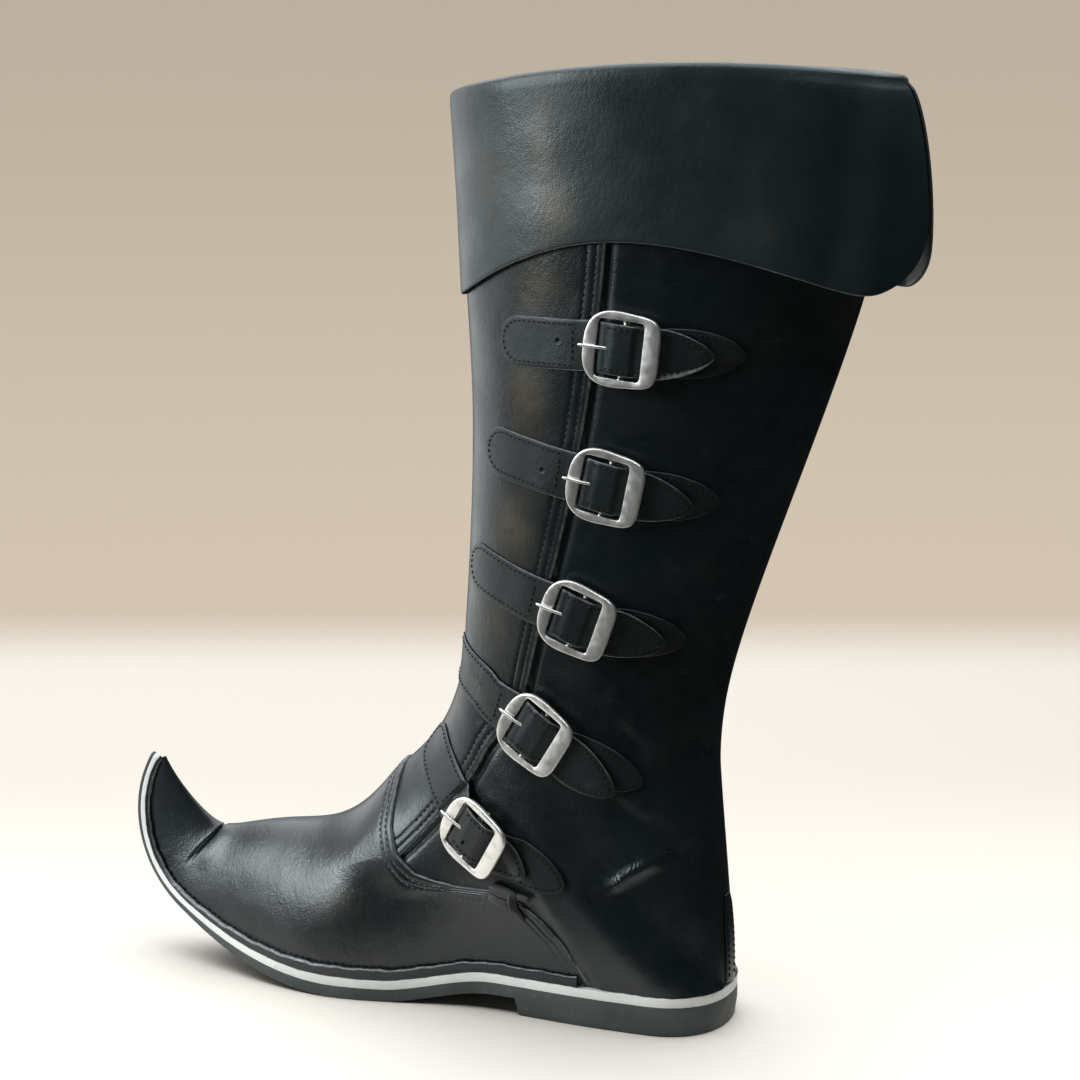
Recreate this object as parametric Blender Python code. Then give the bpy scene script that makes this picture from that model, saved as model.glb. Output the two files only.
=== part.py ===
"""Left medieval boot: curled toe, layered sole, folded cuff and five buckled straps.

The boot stands on Z = 0 with its toe towards -X and its buckled outer side towards -Y.
Sizes and tables are in millimetres; meshes are made in metres.
"""

import math
from collections import namedtuple

import bmesh
import bpy
import numpy as np
from mathutils.bvhtree import BVHTree

MM = 0.001
MERGE = 0.00002
SHARP_ANGLE = math.radians(40.0)
SAMPLES = 200
GAP = 0.3
SEAT_GAP = 0.6
MIDDLE_X = -1.7
MIDDLE_Y = -1.3

# Sole: a flat tread, a gentle spring, a tight curl at the toe and a raised shank
TREAD_X = -78.0
SPRING_RADIUS = 225.0
SPRING_ANGLE = math.radians(29.5)
CURL_RADIUS = 60.0
SHANK_FRONT_X = -57.0
SHANK_BACK_X = 4.0
HEEL_BREAST_X = 17.0
HEEL_BACK_X = 122.5
HEEL_ROUND = 36.0
HEEL_POWER = 2.3
HEEL_LIFT = 9.0
HEEL_TAPER = 1.2
BREAST_SLANT = 2.0
TOE_STATION = 208.5
LEAST_HALF = 0.6
HEEL_TURNS = 9
HEEL_ROWS = 5
MIDDLE_ROWS = 14
TOE_ROWS = 19
OUTSOLE_THICK = 6.2
MIDSOLE_THICK = 4.9
INSOLE_THICK = 2.5
INSOLE_FRONT = 104.0
INSOLE_INSET = 7.4
THIN_END = 150.0
OUTSOLE_TIP = 1.5
MIDSOLE_TIP = 2.8
WELT_TIP_HEIGHT = 2.0

# Welt round the forefoot
WELT_WIDTH = 4.0
WELT_CLEAR = 0.85
WELT_HEIGHT = 5.0
WELT_FADE = 6.0
WELT_BACK_X = 52.0
PLAIN_SEAT_X = 58.0
PLAIN_SEAT_BLEND = 10.0
PLAIN_SEAT_INSET = 1.0
WELT_TIP = 2.4
WELT_SHARE = 0.14
WELT_MIDDLE_ROWS = 10
EDGE_EASE = 0.1

# Leather
WALL = 2.0
TIP_WALL = 0.5
WALL_FULL_RING = 4.0
FLAP_STEP = 2.0
FLAP_FADE = 70.0
FLAP_BACK_FADE = 25.0
FLAP_END_RING = 23.7
FLAP_NONE_RING = 24.3
VAMP_STEP = 1.6
VAMP_FADE = 1.6
VAMP_SEAT_FADE = 0.08
EDGE_RUN = 0.5
EDGE_ROUNDS = 30
RIDGE_SHIFT = 3.0
RIDGE_TOE_RINGS = 6.0
RIDGE_BACK_RINGS = 4.0
WIDTH_BLEND = 4.0
RING_RUN = 40.0
TINY = 0.001
COLLAR_ARCH = 9.0
COLLAR_ARCH_START = 22.0

# Half widths of the sole, by distance ahead of the tread line
SoleRow = namedtuple("SoleRow", "station outer inner")
SOLE_ROWS = [
    SoleRow(208.5, 2.0, 2.0),
    SoleRow(187, 5.5, 5.5),
    SoleRow(161, 8.8, 8.8),
    SoleRow(122, 16.0, 16.0),
    SoleRow(95, 24.0, 24.0),
    SoleRow(64, 34.0, 34.0),
    SoleRow(33, 42.5, 42.5),
    SoleRow(6, 45.5, 46.0),
    SoleRow(-16, 43.0, 45.0),
    SoleRow(-42, 37.5, 40.0),
    SoleRow(-78, 33.5, 32.0),
    SoleRow(-111, 36.0, 31.5),
    SoleRow(-138, 37.8, 35.0),
    SoleRow(-168, 38.0, 38.0),
    SoleRow(-202, 38.0, 38.0),
]

# Sections of the upper, from the tip of the toe to the back of the heel seat
FootRow = namedtuple("FootRow", "front_x front_z station girth power")
FOOT_ROWS = [
    FootRow(-204.0, 103.8, 201, 0.0, 1.00),
    FootRow(-198.0, 96.5, 193, 0.0, 1.00),
    FootRow(-189.0, 86.0, 181, 0.0, 1.00),
    FootRow(-180.0, 77.5, 161, 0.0, 1.00),
    FootRow(-171.0, 72.5, 137, 0.0, 0.98),
    FootRow(-158.0, 74.0, 110, 0.0, 0.96),
    FootRow(-131.0, 79.5, 75, 0.0, 0.96),
    FootRow(-101.0, 85.0, 40, 0.0, 1.00),
    FootRow(-77.0, 100.8, 9, 0.0, 1.04),
    FootRow(-60.0, 118.3, -26, 20.0, 1.06),
    FootRow(-47.0, 131.2, -68, 29.0, 1.04),
    FootRow(-37.0, 144.0, -110, 33.0, 1.00),
    FootRow(-30.5, 157.0, -146, 35.0, 0.96),
    FootRow(-26.5, 168.0, -172, 36.0, 0.92),
    FootRow(-24.0, 178.0, -189, 37.0, 0.90),
    FootRow(-22.5, 187.0, -197, 37.5, 0.88),
    FootRow(-21.5, 196.0, -199.5, 38.0, 0.88),
]

# Sections of the shaft, from the heel seat to the collar
ShaftRow = namedtuple("ShaftRow", "front_x front_z back_x back_z girth power")
SHAFT_ROWS = [
    ShaftRow(-20.5, 208.0, 120.5, 52.0, 38.5, 0.88),
    ShaftRow(-19.0, 225.0, 116.0, 92.0, 39.5, 0.88),
    ShaftRow(-18.0, 245.0, 113.0, 132.0, 41.5, 0.90),
    ShaftRow(-17.0, 268.0, 117.0, 172.0, 44.0, 0.92),
    ShaftRow(-16.5, 296.0, 131.0, 220.0, 47.0, 0.94),
    ShaftRow(-17.0, 330.0, 151.0, 276.0, 50.5, 0.94),
    ShaftRow(-19.5, 370.0, 173.0, 338.0, 53.0, 0.94),
    ShaftRow(-21.9, 415.0, 191.0, 402.0, 55.0, 0.94),
    ShaftRow(-25.3, 462.5, 199.5, 470.0, 57.0, 0.94),
]
HEEL_RING = len(FOOT_ROWS) - 1
TOP_RING = len(FOOT_ROWS) + len(SHAFT_ROWS) - 1

# Free edge of the front panel: share of the way from the outer seat or back seam, by ring
SlitRow = namedtuple("SlitRow", "ring around")
SLIT_ROWS = [
    SlitRow(9.3, 0.213),
    SlitRow(10.3, 0.258),
    SlitRow(12.0, 0.285),
    SlitRow(14.4, 0.302),
    SlitRow(17.5, 0.302),
    SlitRow(18.6, 0.286),
    SlitRow(20.4, 0.267),
    SlitRow(25.0, 0.267),
]

# Back edge of the vamp: ring number, by share of the way from the seat to the front line
VampRow = namedtuple("VampRow", "around ring")
VAMP_ROWS = [
    VampRow(0.0, 11.7),
    VampRow(0.065, 11.8),
    VampRow(0.1, 11.65),
    VampRow(0.127, 11.4),
    VampRow(0.14, 11.05),
    VampRow(0.15, 10.3),
    VampRow(0.162, 9.95),
    VampRow(0.18, 9.6),
    VampRow(0.215, 9.3),
    VampRow(0.27, 9.15),
    VampRow(0.50, 9.15),
]

# Rings of the mesh ahead of the vamp's edge and behind it
VAMP_START = 8.5
QUARTER_END = 14.0
TOE_RINGS = [0, 0.5, 1.2, 2.2, 3.2, 3.8, 4.2, 5, 5.8, 6.6, 7.5]
BACK_RINGS = [14.6, 15.2, 15.7, 16, 16.6, 17.5, 18.5, 19.5, 20.6, 21.7, 22.8, 23.9, 25]
VAMP_STEPS = 6
QUARTER_STEPS = 4
BACK_SHARES = [0, 0.09, 0.2, 0.36, 0.51, 0.6, 0.68, 0.78, 0.89, 1]
FRONT_COLUMNS = 6
INNER_COLUMNS = 10

# Cuff: folded over the collar, open at the back
CUFF_WALL = 1.8
CUFF_INSIDE = 14.0
CUFF_GAP = 0.7
CUFF_INSIDE_GAP = 1.3
CUFF_END = 0.006
CUFF_CORNER = 38.0
CUFF_CURVE = 0.6
CUFF_GIRTH = 560.0
CUFF_LOW_RING = 20.0
CUFF_LIFT = 0.9
CUFF_DROP = 100.0
FOLD_RISE = 0.6
CUFF_FALL_ROWS = 5
CUFF_FOLD_ROWS = 3
CuffRow = namedtuple("CuffRow", "around low flare")
CUFF_ROWS = [
    CuffRow(0.00, 370.0, 28.0),
    CuffRow(0.05, 371.0, 22.0),
    CuffRow(0.10, 377.5, 12.0),
    CuffRow(0.19, 391.5, 4.0),
    CuffRow(0.265, 396.0, 1.5),
    CuffRow(0.34, 385.0, 0.8),
    CuffRow(0.42, 370.0, 0.3),
    CuffRow(0.50, 366.0, 0.3),
]

# Closures: place of the buckle seen from the side, its tilt down and its roll about the strap, then
# the lengths from the middle bar of the strap's front, its tail and the tab, and how far each turns up
Closure = namedtuple("Closure", "x z tilt roll front tail tab front_turn tail_turn tab_turn")
CLOSURES = [
    Closure(82.5, 346.0, 7.0, 0.0, 70.0, 43.0, 57.0, -6.5, 5.0, 6.0),
    Closure(73.0, 279.5, 13.0, 0.0, 74.0, 42.0, 54.0, -2.0, 0.0, 6.0),
    Closure(56.5, 212.5, 21.0, 0.0, 76.0, 44.0, 53.0, -5.0, 7.0, 12.0),
    Closure(32.5, 151.5, 33.0, 0.0, 76.0, 49.0, 58.0, -11.0, -2.0, 13.0),
    Closure(0.5, 95.5, 34.0, 12.0, 70.0, 33.0, 53.0, 12.0, 0.0, 12.0),
]
TURN_REACH = 10.0
STRAP_HALF = 12.3
STRAP_THICK = 1.6
STRAP_SEAT = 0.7
TAB_HALF = 12.0
TAB_THICK = 1.3
FRONT_END_ROUND = 13.0
FRONT_POWER = 2.0
TIP_ROUND = 26.0
TIP_POWER = 1.55
TAB_ROUND = 28.0
TAB_POWER = 1.8
SLOT_SHARE = 0.14
SLOT_FRONT = -10.0
SLOT_BACK = -3.5
TAB_SLOT_SHARE = 0.2
BUCKLE_ROWS = [-20.0, -14.0, SLOT_FRONT, -6.8, SLOT_BACK, 0.0, 4.5, 7.0, 9.6, 17.0]
STRAP_FRONT_ROWS = 6
STRAP_TAIL_ROWS = 5
TAB_ROWS = 5
TAB_SEWN_FRONT = 20.0
END_ROW = 3.0
END_SLACK = 0.15
FLAT_REACH = 8.0
DRAPE_REACH = 24.0

# Buckle: rounded towards the front, with a wide straight bar at the back
BUCKLE_FRONT = 19.8
BUCKLE_BACK = 18.4
BUCKLE_HALF = 19.5
BUCKLE_TAPER = 2.6
BUCKLE_OPEN_FRONT = 13.2
BUCKLE_OPEN_BACK = 10.0
BUCKLE_OPEN_HALF = 14.1
BUCKLE_LOW = 4.6
BUCKLE_THICK = 2.6
BUCKLE_EDGE = 0.7
BUCKLE_SIDES = 20
BUCKLE_FRONT_POWER = 2.7
BUCKLE_BACK_POWER = 5.0
BUCKLE_OPEN_POWER = 10.0
BAR_HALF = 1.4
BAR_LOW = 2.5
BAR_TOP = 4.3
POST_TOP = 5.6
POST_HALF = 13.6
POST_OUT = 17.0
PRONG_RADIUS = 0.8
PRONG_SIDES = 5

# Height of the strap's underside off the back panel, by distance behind the middle bar
LiftRow = namedtuple("LiftRow", "along lift")
STRAP_LIFT = [
    LiftRow(-27.0, 0.0),
    LiftRow(-20.0, 2.2),
    LiftRow(-10.0, 2.2),
    LiftRow(-3.5, 6.6),
    LiftRow(4.5, 6.6),
    LiftRow(9.6, 2.5),
    LiftRow(22.0, 2.8),
    LiftRow(54.0, 3.5),
]

# Path of the tab's middle line round the bar, and of the prong
PathRow = namedtuple("PathRow", "along lift")
TAB_FOLD = [
    PathRow(12.0, 1.2),
    PathRow(4.0, 1.35),
    PathRow(-1.4, 1.35),
    PathRow(-2.8, 2.1),
    PathRow(-3.0, 3.4),
    PathRow(-2.8, 4.7),
    PathRow(-1.4, 5.45),
    PathRow(3.2, 5.4),
    PathRow(4.8, 5.3),
]
PRONG_PATH = [
    PathRow(-2.0, 1.7),
    PathRow(0.0, 1.3),
    PathRow(2.0, 1.8),
    PathRow(2.7, 3.4),
    PathRow(1.9, 4.9),
    PathRow(-0.5, 5.25),
    PathRow(-7.5, 6.5),
    PathRow(-13.5, 8.1),
    PathRow(-21.0, 8.3),
]

# Knotted thong at the end of the side seam, and the strip on the back seam
KNOT_PLACE = Closure(14.0, 64.8, 14.0, 0.0, 10.0, 10.0, 10.0, 0.0, 0.0, 0.0)
KNOT_SIDES = 10
KnotRow = namedtuple("KnotRow", "along middle half top")
KNOT_ROWS = [
    KnotRow(-9.0, 0.0, 2.6, 1.4),
    KnotRow(-7.5, 0.0, 4.2, 3.0),
    KnotRow(-3.0, 0.0, 5.0, 4.0),
    KnotRow(2.5, 0.0, 4.8, 4.0),
    KnotRow(6.5, 0.0, 4.0, 3.2),
    KnotRow(9.0, 0.0, 2.6, 1.8),
]
KNOT_DIP = 1.0
KNOT_ROUND = 0.6
KNOT_SEAT = 2.4
STAY_THICK = 1.4
STAY_COLUMNS = 5
STAY_RING = 19
STAY_SHARE = 0.12
StayRow = namedtuple("StayRow", "level half")
STAY_ROWS = [
    StayRow(0.5, 6.5),
    StayRow(10.0, 6.5),
    StayRow(20.0, 6.5),
    StayRow(30.0, 6.5),
    StayRow(40.0, 5.8),
    StayRow(46.0, 3.2),
]

LEATHER = (0.012, 0.013, 0.015)
RUBBER = (0.022, 0.025, 0.028)
WHITE = (0.72, 0.74, 0.74)
NICKEL = (0.60, 0.60, 0.58)
TAN = (0.24, 0.15, 0.08)
THONG = (0.05, 0.05, 0.04)


def smooth(share):
    """Ease from 0 to 1."""
    share = np.clip(share, 0.0, 1.0)
    return share * share * (3.0 - 2.0 * share)


def column(rows, name):
    """One named column of a table."""
    return [getattr(row, name) for row in rows]


def eased(rows, place, key, value):
    """Value of a table at a place, eased between its rows."""
    keys = np.array(column(rows, key), float)
    values = np.array(column(rows, value), float)
    index = np.clip(np.searchsorted(keys, place) - 1, 0, len(keys) - 2)
    share = (place - keys[index]) / (keys[index + 1] - keys[index])
    return values[index] + (values[index + 1] - values[index]) * smooth(share)


class Spline:
    """Natural cubic spline through the rows of a table."""

    def __init__(self, places, values):
        self.places = np.array(places, float)
        self.values = np.array(values, float)
        steps = np.diff(self.places)
        slopes = np.diff(self.values) / steps
        matrix = np.eye(len(places))
        right = np.zeros(len(places))
        for i in range(1, len(places) - 1):
            matrix[i, i - 1:i + 2] = steps[i - 1], 2.0 * (steps[i - 1] + steps[i]), steps[i]
            right[i] = 6.0 * (slopes[i] - slopes[i - 1])
        self.bends = np.linalg.solve(matrix, right)

    def __call__(self, place):
        place = np.clip(place, self.places[0], self.places[-1])
        index = np.clip(np.searchsorted(self.places, place) - 1, 0, len(self.places) - 2)
        step = self.places[index + 1] - self.places[index]
        after = (place - self.places[index]) / step
        before = 1.0 - after
        bend = (before ** 3 - before) * self.bends[index] + (after ** 3 - after) * self.bends[index + 1]
        return before * self.values[index] + after * self.values[index + 1] + bend * step ** 2 / 6.0


def rings_spline(name):
    """Spline over all rings through one column that both tables have."""
    values = column(FOOT_ROWS, name) + column(SHAFT_ROWS, name)
    return Spline(range(len(values)), values)


SOLE_STATIONS = column(SOLE_ROWS[::-1], "station")
SOLE_OUTER = Spline(SOLE_STATIONS, column(SOLE_ROWS[::-1], "outer"))
SOLE_INNER = Spline(SOLE_STATIONS, column(SOLE_ROWS[::-1], "inner"))
FRONT_X = rings_spline("front_x")
FRONT_Z = rings_spline("front_z")
GIRTH = rings_spline("girth")
POWER = rings_spline("power")
STATION = Spline(range(HEEL_RING + 1), column(FOOT_ROWS, "station"))
SLIT = Spline(column(SLIT_ROWS, "ring"), column(SLIT_ROWS, "around"))
CUFF_SHARES = column(CUFF_ROWS, "around") + [1.0 - row.around for row in CUFF_ROWS[-2::-1]]
CUFF_LOW = Spline(CUFF_SHARES, column(CUFF_ROWS, "low") + column(CUFF_ROWS[-2::-1], "low"))


def tread_line(station):
    """Underside of the outsole on the centre line: x, z and slope, by distance ahead of the tread."""
    station = np.asarray(station, float)
    spring = SPRING_RADIUS * SPRING_ANGLE
    ahead = np.maximum(station, 0.0)
    slope = np.where(ahead < spring, ahead / SPRING_RADIUS, SPRING_ANGLE + (ahead - spring) / CURL_RADIUS)
    sprung = np.minimum(slope, SPRING_ANGLE)
    x = TREAD_X - SPRING_RADIUS * np.sin(sprung) - CURL_RADIUS * (np.sin(slope) - np.sin(sprung))
    x = x + np.maximum(-station, 0.0)
    z = SPRING_RADIUS * (1.0 - np.cos(sprung)) + CURL_RADIUS * (np.cos(sprung) - np.cos(slope))
    z = z + HEEL_LIFT * smooth((x - SHANK_FRONT_X) / (SHANK_BACK_X - SHANK_FRONT_X))
    return x, z, slope


def thinned(full, tip, station):
    """Thickness of a layer that is thinner towards the tip of the toe."""
    return full + (tip - full) * smooth(station / THIN_END)


def outsole_thick(station):
    """Thickness of the outsole."""
    return thinned(OUTSOLE_THICK, OUTSOLE_TIP, station)


def midsole_top(station):
    """Height of the midsole's top over the outsole's underside."""
    return outsole_thick(station) + GAP + thinned(MIDSOLE_THICK, MIDSOLE_TIP, station)


def welt_tall(station):
    """Height of the welt over the midsole."""
    return thinned(WELT_HEIGHT, WELT_TIP_HEIGHT, station)


def half_widths(station, grow=0.0):
    """Outer and inner half widths of the sole's outline, grown or shrunk."""
    x = np.where(station < 0.0, TREAD_X - station, TREAD_X)
    reach = np.clip((x - (HEEL_BACK_X - HEEL_ROUND)) / (HEEL_ROUND + grow), 0.0, 1.0)
    rounding = (1.0 - reach ** HEEL_POWER) ** (1.0 / HEEL_POWER)
    outer = np.maximum(SOLE_OUTER(station) + grow, LEAST_HALF) * rounding
    inner = np.maximum(SOLE_INNER(station) + grow, LEAST_HALF) * rounding
    return outer, inner


def seat_inset(station):
    """How far the upper's seat lies inside the midsole's edge."""
    outer, inner = half_widths(station)
    width = (outer + inner) / 2.0
    welted = WELT_WIDTH * width / (width + WELT_FADE)
    x = np.where(station < 0.0, TREAD_X - station, TREAD_X)
    return welted + (PLAIN_SEAT_INSET - welted) * smooth((x - PLAIN_SEAT_X) / PLAIN_SEAT_BLEND)


def sole_point(station, across, height):
    """Point above the outsole's underside, square to the sole's bend."""
    x, z, slope = tread_line(station)
    across = np.asarray(across, float)
    return np.stack(np.broadcast_arrays(x + height * np.sin(slope), across, z + height * np.cos(slope)), -1)


def seat_height(station):
    """Height of the upper's seat over the outsole's underside."""
    return midsole_top(station) + SEAT_GAP


BACK_RING_NUMBERS = range(HEEL_RING, TOP_RING + 1)
HEEL_SEAT = sole_point(STATION(HEEL_RING), 0.0, seat_height(STATION(HEEL_RING)))
BACK_X = Spline(BACK_RING_NUMBERS, [HEEL_SEAT[0]] + column(SHAFT_ROWS, "back_x"))
BACK_Z = Spline(BACK_RING_NUMBERS, [HEEL_SEAT[2]] + column(SHAFT_ROWS, "back_z"))


def upper_surface(ring, around):
    """Outer face of the leather: ring from toe tip to collar, around from outer seat over the front."""
    ring, around = np.broadcast_arrays(np.asarray(ring, float), np.asarray(around, float))
    station = STATION(ring)
    on_sole = ring < HEEL_RING
    seat = sole_point(station, 0.0, seat_height(station))
    base_x = np.where(on_sole, seat[..., 0], BACK_X(ring))
    base_z = np.where(on_sole, seat[..., 2], BACK_Z(ring))
    outer, inner = half_widths(station)
    width = np.where(around < 0.5, outer, inner) - seat_inset(station)
    width = np.where(on_sole, np.maximum(width, 0.0), 0.0)
    widest = (width ** WIDTH_BLEND + GIRTH(ring) ** WIDTH_BLEND) ** (1.0 / WIDTH_BLEND)
    tuck = np.arccos(np.clip(width / np.maximum(widest, TINY), 0.0, 1.0))
    angle = math.pi / 2.0 - 2.0 * np.abs(around - 0.5) * (math.pi / 2.0 + tuck)
    power = POWER(ring)
    rise = np.sign(np.sin(angle)) * np.abs(np.sin(angle)) ** power
    fall = np.sin(tuck) ** power
    height = (rise + fall) / (1.0 + fall)
    side = np.where(around < 0.5, -1.0, 1.0)
    arch = COLLAR_ARCH * smooth((ring - COLLAR_ARCH_START) / (TOP_RING - COLLAR_ARCH_START))
    x = base_x + (FRONT_X(ring) - base_x) * height
    y = side * widest * np.abs(np.cos(angle)) ** power
    to_inner = smooth((HEEL_RING - ring) / RIDGE_BACK_RINGS) * smooth(ring / RIDGE_TOE_RINGS)
    y = y + RIDGE_SHIFT * height * to_inner
    z = base_z + (FRONT_Z(ring) - base_z) * height + arch * np.cos(angle) ** 2
    return np.stack([x, y, z], -1)


def upper_normal(ring, around):
    """Outward unit normal of the leather."""
    ring_step = 0.02
    around_step = 0.002
    along = (upper_surface(np.minimum(ring + ring_step, TOP_RING), around)
             - upper_surface(np.maximum(ring - ring_step, 0.0), around))
    across = (upper_surface(ring, np.minimum(around + around_step, 1.0))
              - upper_surface(ring, np.maximum(around - around_step, 0.0)))
    normal = np.cross(along, across)
    return normal / np.linalg.norm(normal, axis=-1, keepdims=True)


def upper_offset(ring, around, lift):
    """Point off the leather by a distance along its normal."""
    ring, around, lift = np.broadcast_arrays(ring, around, lift)
    return upper_surface(ring, around) + upper_normal(ring, around) * lift[..., None]


def wall_thickness(ring):
    """Leather thickness, thinner towards the tip of the toe."""
    return TIP_WALL + (WALL - TIP_WALL) * smooth(ring / WALL_FULL_RING)


def vamp_edge(around):
    """Ring of the vamp's back edge."""
    share = 0.5 - np.abs(around - 0.5)
    return np.interp(share, column(VAMP_ROWS, "around"), column(VAMP_ROWS, "ring"))


def ahead_of_slit(ring, around):
    """Distance round the leather from the front panel's free edge, towards the front."""
    girth = 2.0 * (np.abs(FRONT_X(ring) - BACK_X(np.maximum(ring, HEEL_RING))) + GIRTH(ring))
    return (around - SLIT(ring)) * girth


def flap_raise(ring, around):
    """Height of the front panel over the back panel ahead of its free edge."""
    ahead = ahead_of_slit(ring, around)
    under_cuff = smooth((FLAP_NONE_RING - ring) / (FLAP_NONE_RING - FLAP_END_RING))
    raised = FLAP_STEP * (1.0 - smooth(ahead / FLAP_FADE)) * under_cuff
    return np.where((ahead >= 0.0) & (around <= 0.5), raised, 0.0)


def vamp_raise(ring, around):
    """Height of the vamp over the panels that its back edge covers; none at the seat."""
    ahead = ahead_of_slit(ring, around)
    fade = np.where(ahead >= 0.0, FLAP_FADE, FLAP_BACK_FADE)
    covered = np.where(around < 0.5, FLAP_STEP * (1.0 - smooth(np.abs(ahead) / fade)), 0.0)
    behind = smooth((ring - vamp_edge(around) + VAMP_FADE) / VAMP_FADE)
    seat = smooth((0.5 - np.abs(around - 0.5)) / VAMP_SEAT_FADE)
    return (VAMP_STEP + covered) * behind * seat


def panel_raise(ring, around):
    """Height of the leather's outer layers over the plain surface."""
    return np.where(ring <= vamp_edge(around), vamp_raise(ring, around), flap_raise(ring, around))


def shell_faces(rows, columns, closed, holes):
    """Faces of a wall between two grids of points; closed rows meet at their ends."""

    def outer(i, j):
        return i * columns + j

    def inner(i, j):
        return rows * columns + i * columns + j

    def wall(a, b):
        return [outer(*a), outer(*b), inner(*b), inner(*a)]

    faces = []
    for i in range(rows - 1):
        for j in range(columns - 1):
            if (i, j) in holes:
                edges = {(i - 1, j): ((i, j), (i, j + 1)), (i + 1, j): ((i + 1, j), (i + 1, j + 1)),
                         (i, j - 1): ((i, j), (i + 1, j)), (i, j + 1): ((i, j + 1), (i + 1, j + 1))}
                faces += [wall(*edge) for cell, edge in edges.items() if cell not in holes]
                continue
            faces.append([outer(i, j), outer(i, j + 1), outer(i + 1, j + 1), outer(i + 1, j)])
            faces.append([inner(i, j), inner(i + 1, j), inner(i + 1, j + 1), inner(i, j + 1)])
        if not (closed[i] and closed[i + 1]):
            faces.append(wall((i, 0), (i + 1, 0)))
            faces.append(wall((i, columns - 1), (i + 1, columns - 1)))
    for i in (0, rows - 1):
        faces += [wall((i, j), (i, j + 1)) for j in range(columns - 1)]
    return faces


def make_object(name, points, faces, finish):
    """Closed mesh object from points in millimetres."""
    mesh = bpy.data.meshes.new(name)
    work = bmesh.new()
    centred = (np.asarray(points, float) - (MIDDLE_X, MIDDLE_Y, 0.0)) * MM
    corners = [work.verts.new(point) for point in centred.tolist()]
    for face in faces:
        work.faces.new([corners[i] for i in face])
    bmesh.ops.remove_doubles(work, verts=work.verts, dist=MERGE)
    bmesh.ops.dissolve_degenerate(work, edges=work.edges, dist=MERGE / 2.0)
    bmesh.ops.triangulate(work, faces=work.faces)
    bmesh.ops.recalc_face_normals(work, faces=work.faces)
    work.to_mesh(mesh)
    work.free()
    mesh.shade_smooth()
    mesh.set_sharp_from_angle(angle=SHARP_ANGLE)
    mesh.materials.append(finish)
    node = bpy.data.objects.new(name, mesh)
    bpy.context.scene.collection.objects.link(node)
    return node


def make_shell(name, outer, inner, finish, closed=None, holes=()):
    """Solid between two grids of points of the same shape."""
    rows, columns = outer.shape[:2]
    closed = [False] * rows if closed is None else closed
    points = np.concatenate([outer.reshape(-1, 3), inner.reshape(-1, 3)])
    return make_object(name, points, shell_faces(rows, columns, closed, set(holes)), finish)


def make_tube(name, loops, finish):
    """Solid swept through closed loops of points, with flat ends."""
    count, sides = loops.shape[:2]
    faces = [list(range(sides)), list(range((count - 1) * sides, count * sides))]
    for i in range(count - 1):
        for j in range(sides):
            k = (j + 1) % sides
            faces.append([i * sides + j, i * sides + k, (i + 1) * sides + k, (i + 1) * sides + j])
    return make_object(name, loops.reshape(-1, 3), faces, finish)


def finish_of(name, colour, roughness, metallic=0.0):
    """Plain material of one sub-part."""
    material = bpy.data.materials.new(name)
    material.use_nodes = True
    shader = material.node_tree.nodes["Principled BSDF"]
    shader.inputs["Base Color"].default_value = (*colour, 1.0)
    shader.inputs["Roughness"].default_value = roughness
    shader.inputs["Metallic"].default_value = metallic
    return material


def sole_stations(front, back_x):
    """Stations from the heel's end to a front station, close together on the round heel and the curl."""
    turn = np.linspace(0.0, math.pi / 2.0, HEEL_TURNS)
    heel = TREAD_X - (back_x - HEEL_ROUND + HEEL_ROUND * np.cos(turn))
    shank = np.linspace(heel[-1], TREAD_X - SHANK_FRONT_X, MIDDLE_ROWS)[1:]
    middle = np.append(shank, 0.0)
    toe = np.linspace(0.0, front, TOE_ROWS)[1:]
    return np.concatenate([heel, middle, toe])


def make_layer(name, finish, stations, grow, low, high):
    """Flat layer of the sole between two heights over the outsole's underside."""
    outer, inner = half_widths(stations, grow)
    across = np.stack([-outer, inner], -1)
    along = np.repeat(stations[:, None], 2, axis=1)
    bottom = sole_point(along, across, np.broadcast_to(low(stations)[:, None], along.shape))
    top = sole_point(along, across, np.broadcast_to(high(stations)[:, None], along.shape))
    return make_shell(name, top, bottom, finish)


def make_outsole():
    """Rubber sole from the heel's end to the tip of the toe."""
    stations = sole_stations(TOE_STATION, HEEL_BACK_X)
    make_layer("outsole", finish_of("outsole", RUBBER, 0.7), stations, 0.0,
               np.zeros_like, outsole_thick)


def make_midsole():
    """White layer on the outsole."""
    stations = sole_stations(TOE_STATION, HEEL_BACK_X)
    make_layer("midsole", finish_of("midsole", WHITE, 0.6), stations, 0.0,
               lambda s: outsole_thick(s) + GAP, midsole_top)


def make_insole():
    """Leather board inside the upper's seat."""
    stations = sole_stations(INSOLE_FRONT, HEEL_BACK_X - INSOLE_INSET)
    make_layer("insole", finish_of("insole", TAN, 0.8), stations, -INSOLE_INSET,
               seat_height, lambda s: seat_height(s) + INSOLE_THICK)


def make_heel():
    """Heel block, slightly smaller at the floor."""
    back = np.linspace(0.0, math.pi / 2.0, HEEL_TURNS)
    top = (0.0, HEEL_LIFT - GAP, HEEL_BREAST_X)
    floor = (-HEEL_TAPER, 0.0, HEEL_BREAST_X + BREAST_SLANT)
    grids = []
    for grow, level, breast in (top, floor):
        round_x = HEEL_BACK_X - HEEL_ROUND + (HEEL_ROUND + grow) * np.cos(back)
        straight_x = np.linspace(round_x[-1], breast, HEEL_ROWS)[1:]
        x = np.concatenate([round_x, straight_x])
        outer, inner = half_widths(TREAD_X - x, grow)
        across = np.stack([-outer, inner], -1)
        grids.append(np.stack(np.broadcast_arrays(x[:, None], across, level), -1))
    make_shell("heel", grids[0], grids[1], finish_of("heel", RUBBER, 0.7))


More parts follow.
